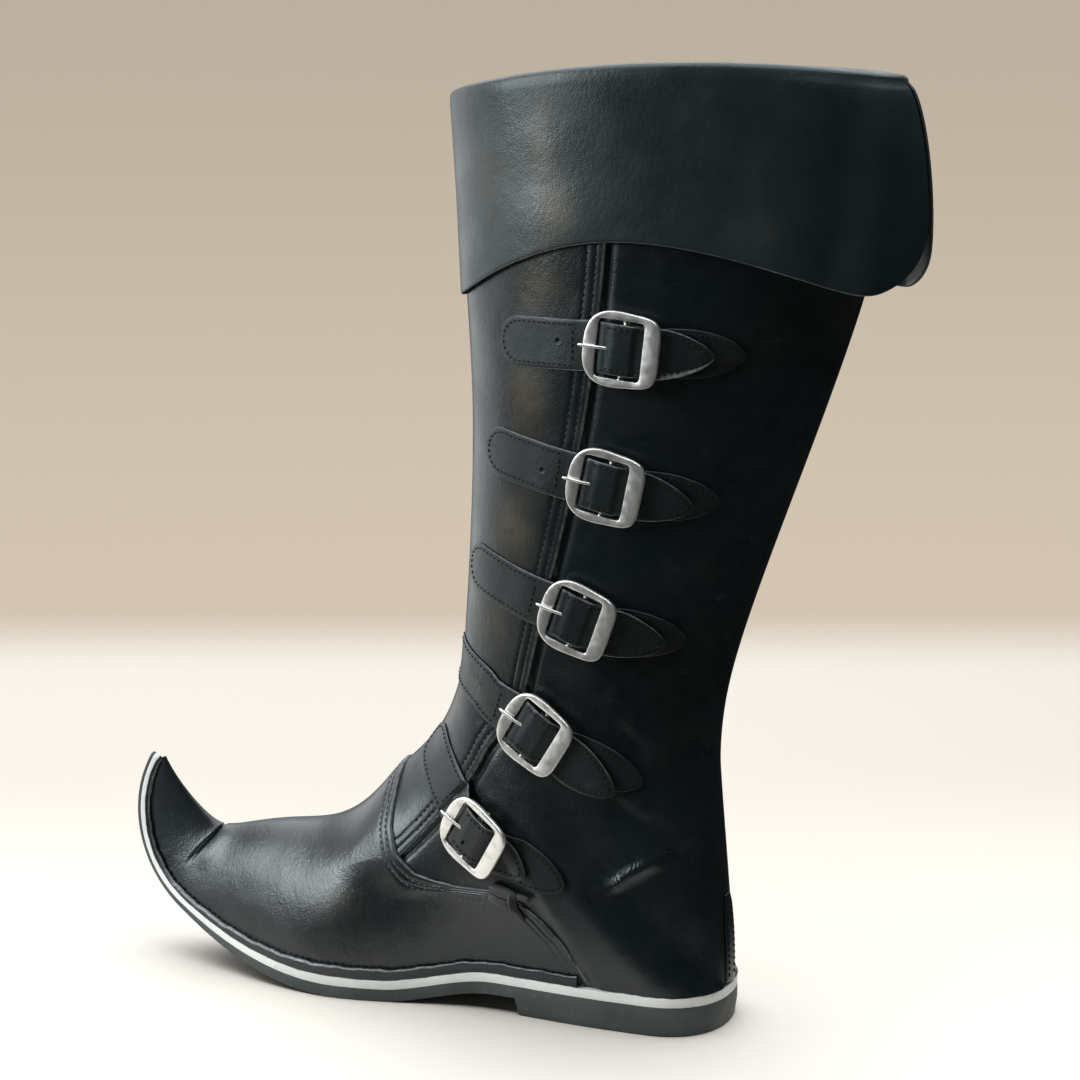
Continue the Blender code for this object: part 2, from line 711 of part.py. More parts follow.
def seat_ring(station):
    """Ring of the upper whose seat lies at a station."""
    rings = np.linspace(0.0, HEEL_RING, SAMPLES)
    return np.interp(-np.asarray(station), -STATION(rings), rings)


def wall_reach(station, outer_side, height):
    """Half width of the upper at a height over its seat, seen square to the sole."""
    share = np.linspace(0.0, WELT_SHARE, SAMPLES)
    around = share if outer_side else 1.0 - share
    points = upper_surface(seat_ring(station), around)
    seat = sole_point(station, 0.0, seat_height(station))
    slope = tread_line(station)[2]
    rise = (points[:, 0] - seat[0]) * np.sin(slope) + (points[:, 2] - seat[2]) * np.cos(slope)
    return np.abs(np.interp(height, rise, points[:, 1]))


def welt_loop(station, sign):
    """Section of the welt on one side of the foot."""
    edge = half_widths(station)[0 if sign < 0.0 else 1] - EDGE_EASE
    seat = edge - seat_inset(station) + WELT_CLEAR
    low = seat_height(station)
    tall = welt_tall(station)
    leaning = wall_reach(station, sign < 0.0, tall) + WELT_CLEAR
    leaning = min(max(leaning, seat), edge - LEAST_HALF)
    corners = ((seat, low), (leaning, low + tall), (edge - 2.0 * EDGE_EASE, low + tall), (edge, low))
    return [sole_point(station, sign * across, height) for across, height in corners]


def welt_tip_loop():
    """Section of the welt where it turns round the tip of the toe."""
    seat = TOE_STATION - WELT_TIP
    low = seat_height(TOE_STATION)
    tall = welt_tall(TOE_STATION)
    eased_tip = TOE_STATION - 2.0 * EDGE_EASE
    corners = ((seat, low), (seat, low + tall), (eased_tip, low + tall), (TOE_STATION, low))
    return [sole_point(station, 0.0, height) for station, height in corners]


def make_welt():
    """Leather strip on the midsole, from side seam over the toe to side seam."""
    straight = np.linspace(TREAD_X - WELT_BACK_X, 0.0, WELT_MIDDLE_ROWS)
    curl = np.linspace(0.0, TOE_STATION - 2.0 * WELT_TIP, TOE_ROWS)
    stations = np.concatenate([straight, curl[1:]])
    loops = [welt_loop(station, -1.0) for station in stations]
    loops += [welt_tip_loop()]
    loops += [welt_loop(station, 1.0) for station in stations[::-1]]
    make_tube("welt", np.array(loops), finish_of("welt", LEATHER, 0.5))


def mesh_columns():
    """Zone and share in it of each column of the upper's mesh, with a double column at the slit."""
    columns = [("back", share) for share in BACK_SHARES]
    columns += [("front", j / FRONT_COLUMNS) for j in range(FRONT_COLUMNS + 1)]
    columns += [("inner", j / INNER_COLUMNS) for j in range(1, INNER_COLUMNS + 1)]
    return columns


def column_around(zone, share, ring):
    """Share around the section of one mesh column at a ring."""
    slit = float(SLIT(ring))
    if zone == "back":
        return slit * share
    if zone == "front":
        start = slit + EDGE_RUN / CUFF_GIRTH
        return start + (0.5 - start) * share
    return 0.5 + 0.5 * share


def upper_column(zone, share):
    """Rings, shares and heights down one column of the upper's mesh."""
    edge = VAMP_START
    for _ in range(EDGE_ROUNDS):
        edge = (edge + float(vamp_edge(column_around(zone, share, edge)))) / 2.0
    run = EDGE_RUN / RING_RUN
    vamp = np.linspace(VAMP_START, edge, VAMP_STEPS + 1)
    quarter = np.linspace(edge + run, QUARTER_END, QUARTER_STEPS + 1)
    rings = np.concatenate([TOE_RINGS, vamp, quarter, BACK_RINGS])
    arounds = np.array([column_around(zone, share, ring) for ring in rings])
    panel_lift = flap_raise(rings, arounds) if zone == "front" else np.zeros_like(rings)
    return rings, arounds, np.where(rings <= edge, vamp_raise(rings, arounds), panel_lift)


def level_with_seat(inner, outer, rings):
    """Bring the lower edge of the inner face to the height of the outer face's edge."""
    slope = tread_line(STATION(rings))[2]
    up = np.stack([np.sin(slope), np.zeros_like(slope), np.cos(slope)], -1)
    return inner - ((inner - outer) * up).sum(-1, keepdims=True) * up


def make_upper():
    """One hollow leather solid, open at the collar and under the foot."""
    grid = [upper_column(zone, share) for zone, share in mesh_columns()]
    rings, arounds, lifts = (np.array(part).T for part in zip(*grid))
    outer = upper_offset(rings, arounds, lifts)
    inner = upper_offset(rings, arounds, -wall_thickness(rings))
    foot = rings[:, 0] <= HEEL_RING
    for end in (0, -1):
        inner[foot, end] = level_with_seat(inner[foot, end], outer[foot, end], rings[foot, end])
    closed = rings[:, 0] >= HEEL_RING
    outer[closed, -1] = outer[closed, 0]
    inner[closed, -1] = inner[closed, 0]
    make_shell("upper", outer, inner, finish_of("upper", LEATHER, 0.45), closed)


def ring_at_height(around, level):
    """Ring of the shaft at a height, for one share around it."""
    rings = np.linspace(CUFF_LOW_RING, TOP_RING, SAMPLES)
    return np.interp(level, upper_surface(rings, around)[:, 2], rings)


def cuff_low(around):
    """Height of the cuff's lower edge, with a round corner at each back end."""
    share = 0.5 - abs(around - 0.5)
    low = float(CUFF_LOW(share))
    from_end = (share - CUFF_END) * CUFF_GIRTH
    short = max(CUFF_CORNER - from_end, 0.0)
    return low + CUFF_CORNER - math.sqrt(max(CUFF_CORNER ** 2 - short ** 2, 0.0))


def cuff_strip(around):
    """Outer and inner points of the cuff across its width, from inside the shaft over the fold."""
    share = 0.5 - abs(around - 0.5)
    flare = float(eased(CUFF_ROWS, share, "around", "flare"))
    rim = upper_surface(TOP_RING, around)
    out = upper_normal(TOP_RING, around) * (1.0, 1.0, 0.0)
    out = out / np.linalg.norm(out)
    up = np.array((0.0, 0.0, 1.0))
    middle = rim - out * WALL / 2.0 + up * FOLD_RISE
    near = WALL / 2.0 + CUFF_GAP
    far = near + CUFF_WALL
    outside = []
    inside = []
    for drop in (CUFF_INSIDE, CUFF_INSIDE / 2.0):
        face = upper_surface(ring_at_height(around, rim[2] - drop), around) - out * WALL
        inside.append(face - out * CUFF_INSIDE_GAP)
        outside.append(face - out * (CUFF_INSIDE_GAP + CUFF_WALL))
    for turn in np.linspace(math.pi, 0.0, CUFF_FOLD_ROWS + 1):
        spread = out * math.cos(turn) + up * math.sin(turn)
        inside.append(middle + spread * near)
        outside.append(middle + spread * far)
    low_ring = float(ring_at_height(around, cuff_low(around)))
    top_level = rim[2]
    for part in np.linspace(0.0, 1.0, CUFF_FALL_ROWS + 1)[1:]:
        ring = TOP_RING + (low_ring - TOP_RING) * part
        face = upper_surface(ring, around)
        drop = top_level - face[2]
        lift = CUFF_LIFT + flare * (drop / CUFF_DROP) ** CUFF_CURVE + float(flap_raise(ring, around))
        inside.append(face + out * lift)
        outside.append(face + out * (lift + CUFF_WALL))
    return outside, inside


def make_cuff():
    """Folded collar, split at the back."""
    columns = [column_around(zone, share, TOP_RING) for zone, share in mesh_columns()]
    arounds = np.clip(columns, CUFF_END, 1.0 - CUFF_END)
    strips = [cuff_strip(around) for around in arounds]
    outer = np.array([strip[0] for strip in strips]).transpose(1, 0, 2)
    inner = np.array([strip[1] for strip in strips]).transpose(1, 0, 2)
    make_shell("cuff", outer, inner, finish_of("cuff", LEATHER, 0.5))


class Leather:
    """The upper's outer face as a fine mesh that finds the ring and share under a point."""

    RINGS = 301
    REACH = 0.6
    SIDE_Y = -300.0

    def __init__(self):
        self.rings = np.linspace(0.0, TOP_RING, self.RINGS)
        self.arounds = np.linspace(0.0, self.REACH, SAMPLES)
        grid_rings, grid_arounds = np.meshgrid(self.rings, self.arounds, indexing="ij")
        self.points = upper_surface(grid_rings, grid_arounds)
        width = len(self.arounds)
        faces = [(i * width + j, i * width + j + 1, (i + 1) * width + j + 1, (i + 1) * width + j)
                 for i in range(len(self.rings) - 1) for j in range(width - 1)]
        self.tree = BVHTree.FromPolygons(self.points.reshape(-1, 3).tolist(), faces)

    def locate(self, point):
        """Ring and share of the point of the leather nearest to a point."""
        spot, _, face, _ = self.tree.find_nearest(point)
        i, j = divmod(face, len(self.arounds) - 1)
        corner = self.points[i, j]
        along = self.points[i + 1, j] - corner
        across = self.points[i, j + 1] - corner
        away = np.array(spot) - corner
        lengths = np.array(((along @ along, along @ across), (along @ across, across @ across)))
        shares = np.linalg.solve(lengths, (away @ along, away @ across))
        ring_share, around_share = np.clip(shares, 0.0, 1.0)
        ring = self.rings[i] + ring_share * (self.rings[1] - self.rings[0])
        around = self.arounds[j] + around_share * (self.arounds[1] - self.arounds[0])
        return ring, around

    def seen_from_side(self, x, z):
        """Ring and share of the leather's outer side at a place in the side view."""
        spot = self.tree.ray_cast((x, self.SIDE_Y, z), (0.0, 1.0, 0.0))[0]
        return self.locate(spot)


def turned(direction, axis, degrees):
    """Direction turned about an axis square to it."""
    angle = math.radians(degrees)
    return direction * math.cos(angle) + np.cross(axis, direction) * math.sin(angle)


class Line:
    """A line drawn on the leather through a buckle, turned on both sides of it, with flat axes at the buckle."""

    STEP = 2.0
    SPARE = 4.0

    def __init__(self, leather, closure, back_turn):
        self.leather = leather
        ring, around = leather.seen_from_side(closure.x, closure.z)
        self.middle = upper_surface(ring, around)
        outward = upper_normal(ring, around)
        level = np.cross(outward, (0.0, 0.0, 1.0))
        level = -level / np.linalg.norm(level) if level[0] < 0.0 else level / np.linalg.norm(level)
        down = np.cross(outward, level)
        down = -down if down[2] > 0.0 else down
        tilt = math.radians(closure.tilt)
        self.along = level * math.cos(tilt) + down * math.sin(tilt)
        self.normal = turned(outward, self.along, closure.roll)
        self.across = np.cross(self.normal, self.along)
        probes = [leather.locate(self.middle + self.along * a + self.across * c)
                  for a in (-FLAT_REACH, 0.0, FLAT_REACH) for c in (-STRAP_HALF, STRAP_HALF)]
        self.rise = max(0.0, max((upper_surface(*probe) - self.middle) @ self.normal for probe in probes))
        ahead = self.walk(outward, -self.along, closure.front + self.SPARE, -closure.front_turn)
        behind = self.walk(outward, self.along, max(closure.tail, closure.tab) + self.SPARE, back_turn)
        steps = ahead[::-1] + [(self.middle, outward)] + behind
        self.points = np.array([point for point, _ in steps])
        normals = np.array([normal for _, normal in steps])
        sides = np.cross(normals, np.gradient(self.points, axis=0))
        self.sides = sides / np.linalg.norm(sides, axis=1, keepdims=True)
        self.places = self.STEP * (np.arange(len(self.points)) - len(ahead))

    def walk(self, normal, heading, length, turn):
        """Points and normals along the leather from the buckle, straight on after one turn near the frame."""
        steps = []
        point = self.middle
        for step in range(int(math.ceil(length / self.STEP))):
            if step == int(TURN_REACH / self.STEP):
                heading = turned(heading, normal, turn)
            ring, around = self.leather.locate(point + heading * self.STEP)
            onward = upper_surface(ring, around)
            normal = upper_normal(ring, around)
            heading = heading - normal * (heading @ normal)
            heading = heading / np.linalg.norm(heading)
            point = onward
            steps.append((point, normal))
        return steps

    def read(self, values, along):
        """One of the line's columns of vectors at a distance behind the middle bar."""
        return np.array([np.interp(along, self.places, values[:, k]) for k in range(3)])

    def place(self, along, across, lift, seat):
        """Point off the leather by its distances along and across the line; flat near the buckle."""
        draped = self.draped(along, across, lift, seat)
        flat = self.flat(along, across, lift)
        blend = smooth((abs(along) - FLAT_REACH) / (DRAPE_REACH - FLAT_REACH))
        return flat + (draped - flat) * blend

    def draped(self, along, across, lift, seat=0.0):
        """Point off the bent leather, at least a small distance off its outer layers."""
        spot = self.read(self.points, along) + self.read(self.sides, along) * across
        ring, around = self.leather.locate(spot)
        lowest = float(panel_raise(ring, around)) + seat if seat else lift
        return upper_offset(ring, around, np.array(max(lift, lowest)))

    def flat(self, along, across, lift):
        """Point in the buckle's own flat axes."""
        return self.middle + self.along * along + self.across * across + self.normal * (lift + self.rise)


def end_width(place, end, reach, power):
    """Share of the full width near a rounded end."""
    short = np.clip((reach - abs(end - place)) / reach, 0.0, 1.0)
    return max(1.0 - short ** power, 0.0) ** (1.0 / power)


def make_strap(number, closure, line, finish):
    """Strap from the front panel, under the front bar, over the middle bar and under the back bar."""
    front_rows = np.linspace(-closure.front, STRAP_LIFT[0].along, STRAP_FRONT_ROWS)
    front_rows = np.insert(front_rows, 1, END_ROW - closure.front)
    tail_rows = np.linspace(DRAPE_REACH, closure.tail - END_ROW, STRAP_TAIL_ROWS)
    tail_rows = np.append(tail_rows, closure.tail - END_SLACK)
    rows = np.concatenate([front_rows, BUCKLE_ROWS, tail_rows])
    shares = (-1.0, -SLOT_SHARE, SLOT_SHARE, 1.0)
    grids = []
    for extra in (STRAP_THICK, 0.0):
        grid = []
        for along in rows:
            front_width = end_width(along, -closure.front - END_SLACK, FRONT_END_ROUND, FRONT_POWER)
            half = STRAP_HALF * min(front_width, end_width(along, closure.tail, TIP_ROUND, TIP_POWER))
            lift = float(eased(STRAP_LIFT, along, "along", "lift"))
            grid.append([strap_point(line, along, half * share, lift, extra) for share in shares])
        grids.append(np.array(grid))
    first = len(front_rows) + BUCKLE_ROWS.index(SLOT_FRONT)
    make_shell(f"strap_{number}", grids[0], grids[1], finish, holes=[(first, 1), (first + 1, 1)])


def strap_point(line, along, across, lift, extra):
    """Point of a strap's face, off the panel that the strap lies on."""
    return line.place(along, across, lift + extra, STRAP_SEAT + extra)


def make_tab(number, closure, line, finish):
    """Short strap on the back panel, folded round the buckle's middle bar."""
    fold = np.array([(row.along, row.lift) for row in TAB_FOLD])
    sewn = np.linspace(closure.tab, TAB_SEWN_FRONT, TAB_ROWS)
    sewn = np.insert(sewn, 1, closure.tab - END_ROW)
    path = np.concatenate([np.stack([sewn, np.full_like(sewn, TAB_FOLD[0].lift)], -1), fold])
    ahead = np.gradient(path, axis=0)
    left = np.stack([-ahead[:, 1], ahead[:, 0]], -1)
    left = left / np.linalg.norm(left, axis=1, keepdims=True) * TAB_THICK / 2.0
    shares = (-1.0, -TAB_SLOT_SHARE, TAB_SLOT_SHARE, 1.0)
    grids = []
    for face in (path + left, path - left):
        grid = []
        for (along, lift), (mid_along, _) in zip(face, path):
            half = TAB_HALF * end_width(mid_along, closure.tab + END_SLACK, TAB_ROUND, TAB_POWER)
            grid.append([line.place(along, half * share, lift, min(lift, STRAP_SEAT)) for share in shares])
        grids.append(np.array(grid))
    first = len(sewn)
    slot = [(first + i, 1) for i in range(1, len(TAB_FOLD) - 2)]
    make_shell(f"tab_{number}", grids[0], grids[1], finish, holes=slot)


def rounded_loop(front, back, half, front_power, back_power, taper):
    """Loop of a buckle's outline, as round as its powers say, narrower towards the back by a taper."""
    points = []
    for turn in np.linspace(0.0, 2.0 * math.pi, BUCKLE_SIDES, endpoint=False) + math.pi / BUCKLE_SIDES:
        behind = math.cos(turn) > 0.0
        reach, power = (back, back_power) if behind else (front, front_power)
        along = math.copysign(reach * abs(math.cos(turn)) ** (2.0 / power), math.cos(turn))
        across = math.copysign(abs(math.sin(turn)) ** (2.0 / power), math.sin(turn))
        points.append((along, across * (half - taper * (along + front) / (back + front))))
    return np.array(points)


def make_buckle(number, line, finish):
    """Flat frame with a middle bar let down on two posts."""
    outer = rounded_loop(BUCKLE_FRONT, BUCKLE_BACK, BUCKLE_HALF, BUCKLE_FRONT_POWER, BUCKLE_BACK_POWER, BUCKLE_TAPER)
    opening = rounded_loop(BUCKLE_OPEN_FRONT, BUCKLE_OPEN_BACK, BUCKLE_OPEN_HALF, BUCKLE_OPEN_POWER,
                           BUCKLE_OPEN_POWER, 0.0)
    top = BUCKLE_LOW + BUCKLE_THICK
    width = np.linalg.norm(outer - opening, axis=1, keepdims=True)
    inward = (opening - outer) / width
    profile = ((outer, BUCKLE_LOW), (outer, top - BUCKLE_EDGE), (outer + inward * BUCKLE_EDGE, top),
               (opening - inward * BUCKLE_EDGE, top), (opening, top - BUCKLE_EDGE), (opening, BUCKLE_LOW))
    loops = [[line.flat(x, y, level) for x, y in loop] for loop, level in profile]
    frame = make_ring(f"buckle_{number}", np.array(loops).transpose(1, 0, 2), finish)
    bar = make_bar(number, line, finish)
    union = frame.modifiers.new("bar", "BOOLEAN")
    union.operation = "UNION"
    union.solver = "EXACT"
    union.object = bar


def make_ring(name, loops, finish):
    """Solid of loops joined end to end."""
    count, sides = loops.shape[:2]
    faces = []
    for i in range(count):
        for j in range(sides):
            k = (j + 1) % sides
            after = (i + 1) % count
            faces.append([i * sides + j, i * sides + k, after * sides + k, after * sides + j])
    return make_object(name, loops.reshape(-1, 3), faces, finish)


def make_bar(number, line, finish):
    """Middle bar and its posts, kept as a guide that the frame joins to itself."""
    outline = ((-POST_OUT, BAR_LOW), (POST_OUT, BAR_LOW), (POST_OUT, POST_TOP), (POST_HALF, POST_TOP),
               (POST_HALF, BAR_TOP), (-POST_HALF, BAR_TOP), (-POST_HALF, POST_TOP), (-POST_OUT, POST_TOP))
    loops = [[line.flat(along, across, lift) for across, lift in outline] for along in (-BAR_HALF, BAR_HALF)]
    bar = make_tube(f"bar_{number}", np.array(loops), finish)
    bar.hide_render = True
    bar.display_type = "WIRE"
    return bar


def sweep_loops(path, sideways, radius, sides):
    """Round loops along a path whose bends lie square to one direction."""
    ahead = np.gradient(path, axis=0)
    ahead = ahead / np.linalg.norm(ahead, axis=1, keepdims=True)
    up = np.cross(ahead, sideways)
    up = up / np.linalg.norm(up, axis=1, keepdims=True)
    turns = np.linspace(0.0, 2.0 * math.pi, sides, endpoint=False)
    return np.array([[point + radius * (sideways * math.cos(turn) + rise * math.sin(turn)) for turn in turns]
                     for point, rise in zip(path, up)])


def make_prong(number, line, finish):
    """Pin hooked round the middle bar, through the strap and over the front bar."""
    path = np.array([line.flat(row.along, 0.0, row.lift) for row in PRONG_PATH])
    make_tube(f"prong_{number}", sweep_loops(path, line.across, PRONG_RADIUS, PRONG_SIDES), finish)


def make_knot(leather):
    """Thong wound twice and drawn tight, with a dip between the two turns."""
    line = Line(leather, KNOT_PLACE, KNOT_PLACE.tail_turn)
    loops = []
    for row in KNOT_ROWS:
        loop = []
        for turn in np.linspace(0.0, 2.0 * math.pi, KNOT_SIDES, endpoint=False) + math.pi / 2.0:
            across = row.middle + row.half * math.cos(turn)
            dip = KNOT_DIP * math.sin(turn) ** KNOT_SIDES if math.sin(turn) > 0.0 else 0.0
            lift = row.top * max(math.sin(turn), 0.0) ** KNOT_ROUND - dip + KNOT_SEAT
            loop.append(line.draped(row.along, across, lift))
        loops.append(loop)
    make_tube("side_knot", np.array(loops), finish_of("side_knot", THONG, 0.6))


def make_closures():
    """Five straps with their tabs, buckles and prongs, and the knot beside them."""
    leather = Leather()
    for number, closure in enumerate(CLOSURES, 1):
        line = Line(leather, closure, closure.tail_turn)
        tab_line = Line(leather, closure, closure.tab_turn)
        make_strap(number, closure, line, finish_of(f"strap_{number}", LEATHER, 0.5))
        make_tab(number, closure, tab_line, finish_of(f"tab_{number}", LEATHER, 0.55))
        make_buckle(number, line, finish_of(f"buckle_{number}", NICKEL, 0.35, 1.0))
        make_prong(number, line, finish_of(f"prong_{number}", NICKEL, 0.35, 1.0))
    make_knot(leather)


def make_back_stay():
    """Strip over the foot of the back seam."""
    rings = np.linspace(HEEL_RING, STAY_RING, SAMPLES)
    shares = np.linspace(0.0, STAY_SHARE, SAMPLES)
    grids = []
    for lift in (GAP + STAY_THICK, GAP):
        grid = []
        for row in STAY_ROWS:
            ring = np.interp(HEEL_SEAT[2] + row.level, BACK_Z(rings), rings)
            reach = np.abs(upper_surface(ring, shares)[:, 1])
            across = row.half * np.linspace(-1.0, 1.0, STAY_COLUMNS)
            spots = np.interp(np.abs(across), reach, shares)
            arounds = np.where(across > 0.0, 1.0 - spots, spots)
            grid.append(upper_offset(np.full_like(arounds, ring), arounds, np.array(lift)))
        grids.append(np.array(grid))
    make_shell("back_stay", grids[0], grids[1], finish_of("back_stay", LEATHER, 0.5))


def main():
    """Clear the scene and model the boot."""
    for node in list(bpy.data.objects):
        bpy.data.objects.remove(node, do_unlink=True)
    make_outsole()
    make_heel()
    make_midsole()
    make_insole()
    make_welt()
    make_upper()
    make_cuff()
    make_back_stay()
    make_closures()


main()
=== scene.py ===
"""Looks of the left medieval boot: leather, sole, cuff, straps and buckles on the frame.

The toe points to -X, the buckled outer side to -Y. Sizes are in millimetres, as in the solids'
source, whose surfaces are worked out here again; meshes are made in metres.
"""

import math
from collections import namedtuple

import bmesh
import bpy
import numpy as np
from mathutils.bvhtree import BVHTree
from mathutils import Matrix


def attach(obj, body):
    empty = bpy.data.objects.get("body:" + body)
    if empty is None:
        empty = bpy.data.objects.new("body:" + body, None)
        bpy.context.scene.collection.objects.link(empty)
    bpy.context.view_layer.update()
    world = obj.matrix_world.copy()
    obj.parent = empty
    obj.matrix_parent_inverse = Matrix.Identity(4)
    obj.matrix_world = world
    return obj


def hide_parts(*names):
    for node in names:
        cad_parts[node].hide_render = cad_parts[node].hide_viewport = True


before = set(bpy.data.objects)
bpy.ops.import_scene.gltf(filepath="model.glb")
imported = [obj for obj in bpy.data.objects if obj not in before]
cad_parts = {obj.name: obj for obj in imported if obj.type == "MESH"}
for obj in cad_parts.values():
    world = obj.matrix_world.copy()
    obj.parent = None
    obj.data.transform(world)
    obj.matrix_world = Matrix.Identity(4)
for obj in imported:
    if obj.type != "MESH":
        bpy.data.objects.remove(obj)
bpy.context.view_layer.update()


def table(columns, *rows):
    """Rows of values with named columns."""
    kind = namedtuple("Row", columns)
    return [kind(*row) for row in rows]


# Scale, tolerances and clearances, and the point of the tables that is the frame's origin
MM = 0.001
MERGE = 0.00002
SHARP_ANGLE = math.radians(50.0)
SAMPLES = 320
GAP = 0.3
SEAT_GAP = 0.6
MIDDLE = (-1.7, -1.3, 0.0)

# Sole: a flat tread, a gentle spring, a tight curl at the toe and a raised shank
TREAD_X = -78.0
SPRING_RADIUS = 225.0
SPRING_ANGLE = math.radians(29.5)
CURL_RADIUS = 60.0
SHANK_FRONT_X = -57.0
SHANK_BACK_X = 4.0
HEEL_BREAST_X = 17.0
HEEL_BACK_X = 122.5
HEEL_ROUND = 36.0
HEEL_POWER = 2.3
HEEL_LIFT = 9.0
HEEL_TAPER = 1.2
BREAST_SLANT = 2.0
TOE_STATION = 208.5
LEAST_HALF = 0.6
OUTSOLE_THICK = 6.2
MIDSOLE_THICK = 4.9
THIN_END = 150.0
OUTSOLE_TIP = 1.5
MIDSOLE_TIP = 2.8
WELT_TIP_HEIGHT = 2.0

# Welt round the forefoot
WELT_WIDTH = 4.0
WELT_CLEAR = 0.85
WELT_HEIGHT = 5.0
WELT_FADE = 6.0
WELT_BACK_X = 52.0
PLAIN_SEAT_X = 58.0
PLAIN_SEAT_BLEND = 10.0
PLAIN_SEAT_INSET = 1.0
WELT_TIP = 2.4
WELT_SHARE = 0.14
EDGE_EASE = 0.1

# Leather
WALL = 2.0
TIP_WALL = 0.5
WALL_FULL_RING = 4.0
FLAP_STEP = 2.0
FLAP_FADE = 70.0
FLAP_BACK_FADE = 25.0
FLAP_END_RING = 23.7
FLAP_NONE_RING = 24.3
VAMP_STEP = 1.6
VAMP_FADE = 1.6
VAMP_SEAT_FADE = 0.08
VAMP_START = 8.5
EDGE_ROUNDS = 30
RIDGE_SHIFT = 3.0
RIDGE_TOE_RINGS = 6.0
RIDGE_BACK_RINGS = 4.0
WIDTH_BLEND = 4.0
TINY = 0.001
COLLAR_ARCH = 9.0
COLLAR_ARCH_START = 22.0

# Half widths of the sole, by distance ahead of the tread line
SOLE_ROWS = table(
    "station outer inner",
    (208.5, 2.0, 2.0), (187, 5.5, 5.5), (161, 8.8, 8.8), (122, 16.0, 16.0), (95, 24.0, 24.0),
    (64, 34.0, 34.0), (33, 42.5, 42.5), (6, 45.5, 46.0), (-16, 43.0, 45.0), (-42, 37.5, 40.0),
    (-78, 33.5, 32.0), (-111, 36.0, 31.5), (-138, 37.8, 35.0), (-168, 38.0, 38.0),
    (-202, 38.0, 38.0),
)

# Sections of the upper, from the tip of the toe to the back of the heel seat
FOOT_ROWS = table(
    "front_x front_z station girth power",
    (-204.0, 103.8, 201, 0.0, 1.00), (-198.0, 96.5, 193, 0.0, 1.00), (-189.0, 86.0, 181, 0.0, 1.00),
    (-180.0, 77.5, 161, 0.0, 1.00), (-171.0, 72.5, 137, 0.0, 0.98), (-158.0, 74.0, 110, 0.0, 0.96),
    (-131.0, 79.5, 75, 0.0, 0.96), (-101.0, 85.0, 40, 0.0, 1.00), (-77.0, 100.8, 9, 0.0, 1.04),
    (-60.0, 118.3, -26, 20.0, 1.06), (-47.0, 131.2, -68, 29.0, 1.04),
    (-37.0, 144.0, -110, 33.0, 1.00), (-30.5, 157.0, -146, 35.0, 0.96),
    (-26.5, 168.0, -172, 36.0, 0.92), (-24.0, 178.0, -189, 37.0, 0.90),
    (-22.5, 187.0, -197, 37.5, 0.88), (-21.5, 196.0, -199.5, 38.0, 0.88),
)

# Sections of the shaft, from the heel seat to the collar
SHAFT_ROWS = table(
    "front_x front_z back_x back_z girth power",
    (-20.5, 208.0, 120.5, 52.0, 38.5, 0.88), (-19.0, 225.0, 116.0, 92.0, 39.5, 0.88),
    (-18.0, 245.0, 113.0, 132.0, 41.5, 0.90), (-17.0, 268.0, 117.0, 172.0, 44.0, 0.92),
    (-16.5, 296.0, 131.0, 220.0, 47.0, 0.94), (-17.0, 330.0, 151.0, 276.0, 50.5, 0.94),
    (-19.5, 370.0, 173.0, 338.0, 53.0, 0.94), (-21.9, 415.0, 191.0, 402.0, 55.0, 0.94),
    (-25.3, 462.5, 199.5, 470.0, 57.0, 0.94),
)
HEEL_RING = len(FOOT_ROWS) - 1
TOP_RING = len(FOOT_ROWS) + len(SHAFT_ROWS) - 1

# Free edge of the front panel: share of the way from the outer seat or back seam, by ring
SLIT_ROWS = table(
    "ring around",
    (9.3, 0.213), (10.3, 0.258), (12.0, 0.285), (14.4, 0.302), (17.5, 0.302), (18.6, 0.286),
    (20.4, 0.267), (25.0, 0.267),
)

# Back edge of the vamp: ring number, by share of the way from the seat to the front line
VAMP_ROWS = table(
    "around ring",
    (0.0, 11.7), (0.065, 11.8), (0.1, 11.65), (0.127, 11.4), (0.14, 11.05), (0.15, 10.3),
    (0.162, 9.95), (0.18, 9.6), (0.215, 9.3), (0.27, 9.15), (0.50, 9.15),
)

# Cuff: folded over the collar, open at the back
CUFF_WALL = 1.8
CUFF_INSIDE = 14.0
CUFF_GAP = 0.7
CUFF_INSIDE_GAP = 1.3
CUFF_END = 0.006
CUFF_CORNER = 38.0
CUFF_CURVE = 0.6
CUFF_GIRTH = 560.0
CUFF_LOW_RING = 20.0
CUFF_LIFT = 0.9
CUFF_DROP = 100.0
FOLD_RISE = 0.6
CUFF_DRAPE = np.linspace(-0.05, 0.05, 21)
CUFF_FALL_ROWS = 44
CUFF_FOLD_ROWS = 10
CUFF_ROWS = table(
    "around low flare",
    (0.00, 370.0, 28.0), (0.05, 371.0, 22.0), (0.10, 377.5, 12.0), (0.19, 391.5, 4.0),
    (0.265, 396.0, 1.5), (0.34, 385.0, 0.8), (0.42, 370.0, 0.3), (0.50, 366.0, 0.3),
)

# Closures: the buckle's place from the side, tilt and roll; lengths and turns of strap and tab
Closure = namedtuple("Closure", "x z tilt roll front tail tab front_turn tail_turn tab_turn")
CLOSURES = [Closure(*row) for row in (
    (82.5, 346.0, 7.0, 0.0, 70.0, 43.0, 57.0, -6.5, 5.0, 6.0),
    (73.0, 279.5, 13.0, 0.0, 74.0, 42.0, 54.0, -2.0, 0.0, 6.0),
    (56.5, 212.5, 21.0, 0.0, 76.0, 44.0, 53.0, -5.0, 7.0, 12.0),
    (32.5, 151.5, 33.0, 0.0, 76.0, 49.0, 58.0, -11.0, -2.0, 13.0),
    (0.5, 95.5, 34.0, 12.0, 70.0, 33.0, 53.0, 12.0, 0.0, 12.0),
)]
TURN_REACH = 10.0
STRAP_HALF = 12.3
STRAP_THICK = 1.6
STRAP_SEAT = 0.7
TAB_HALF = 12.0
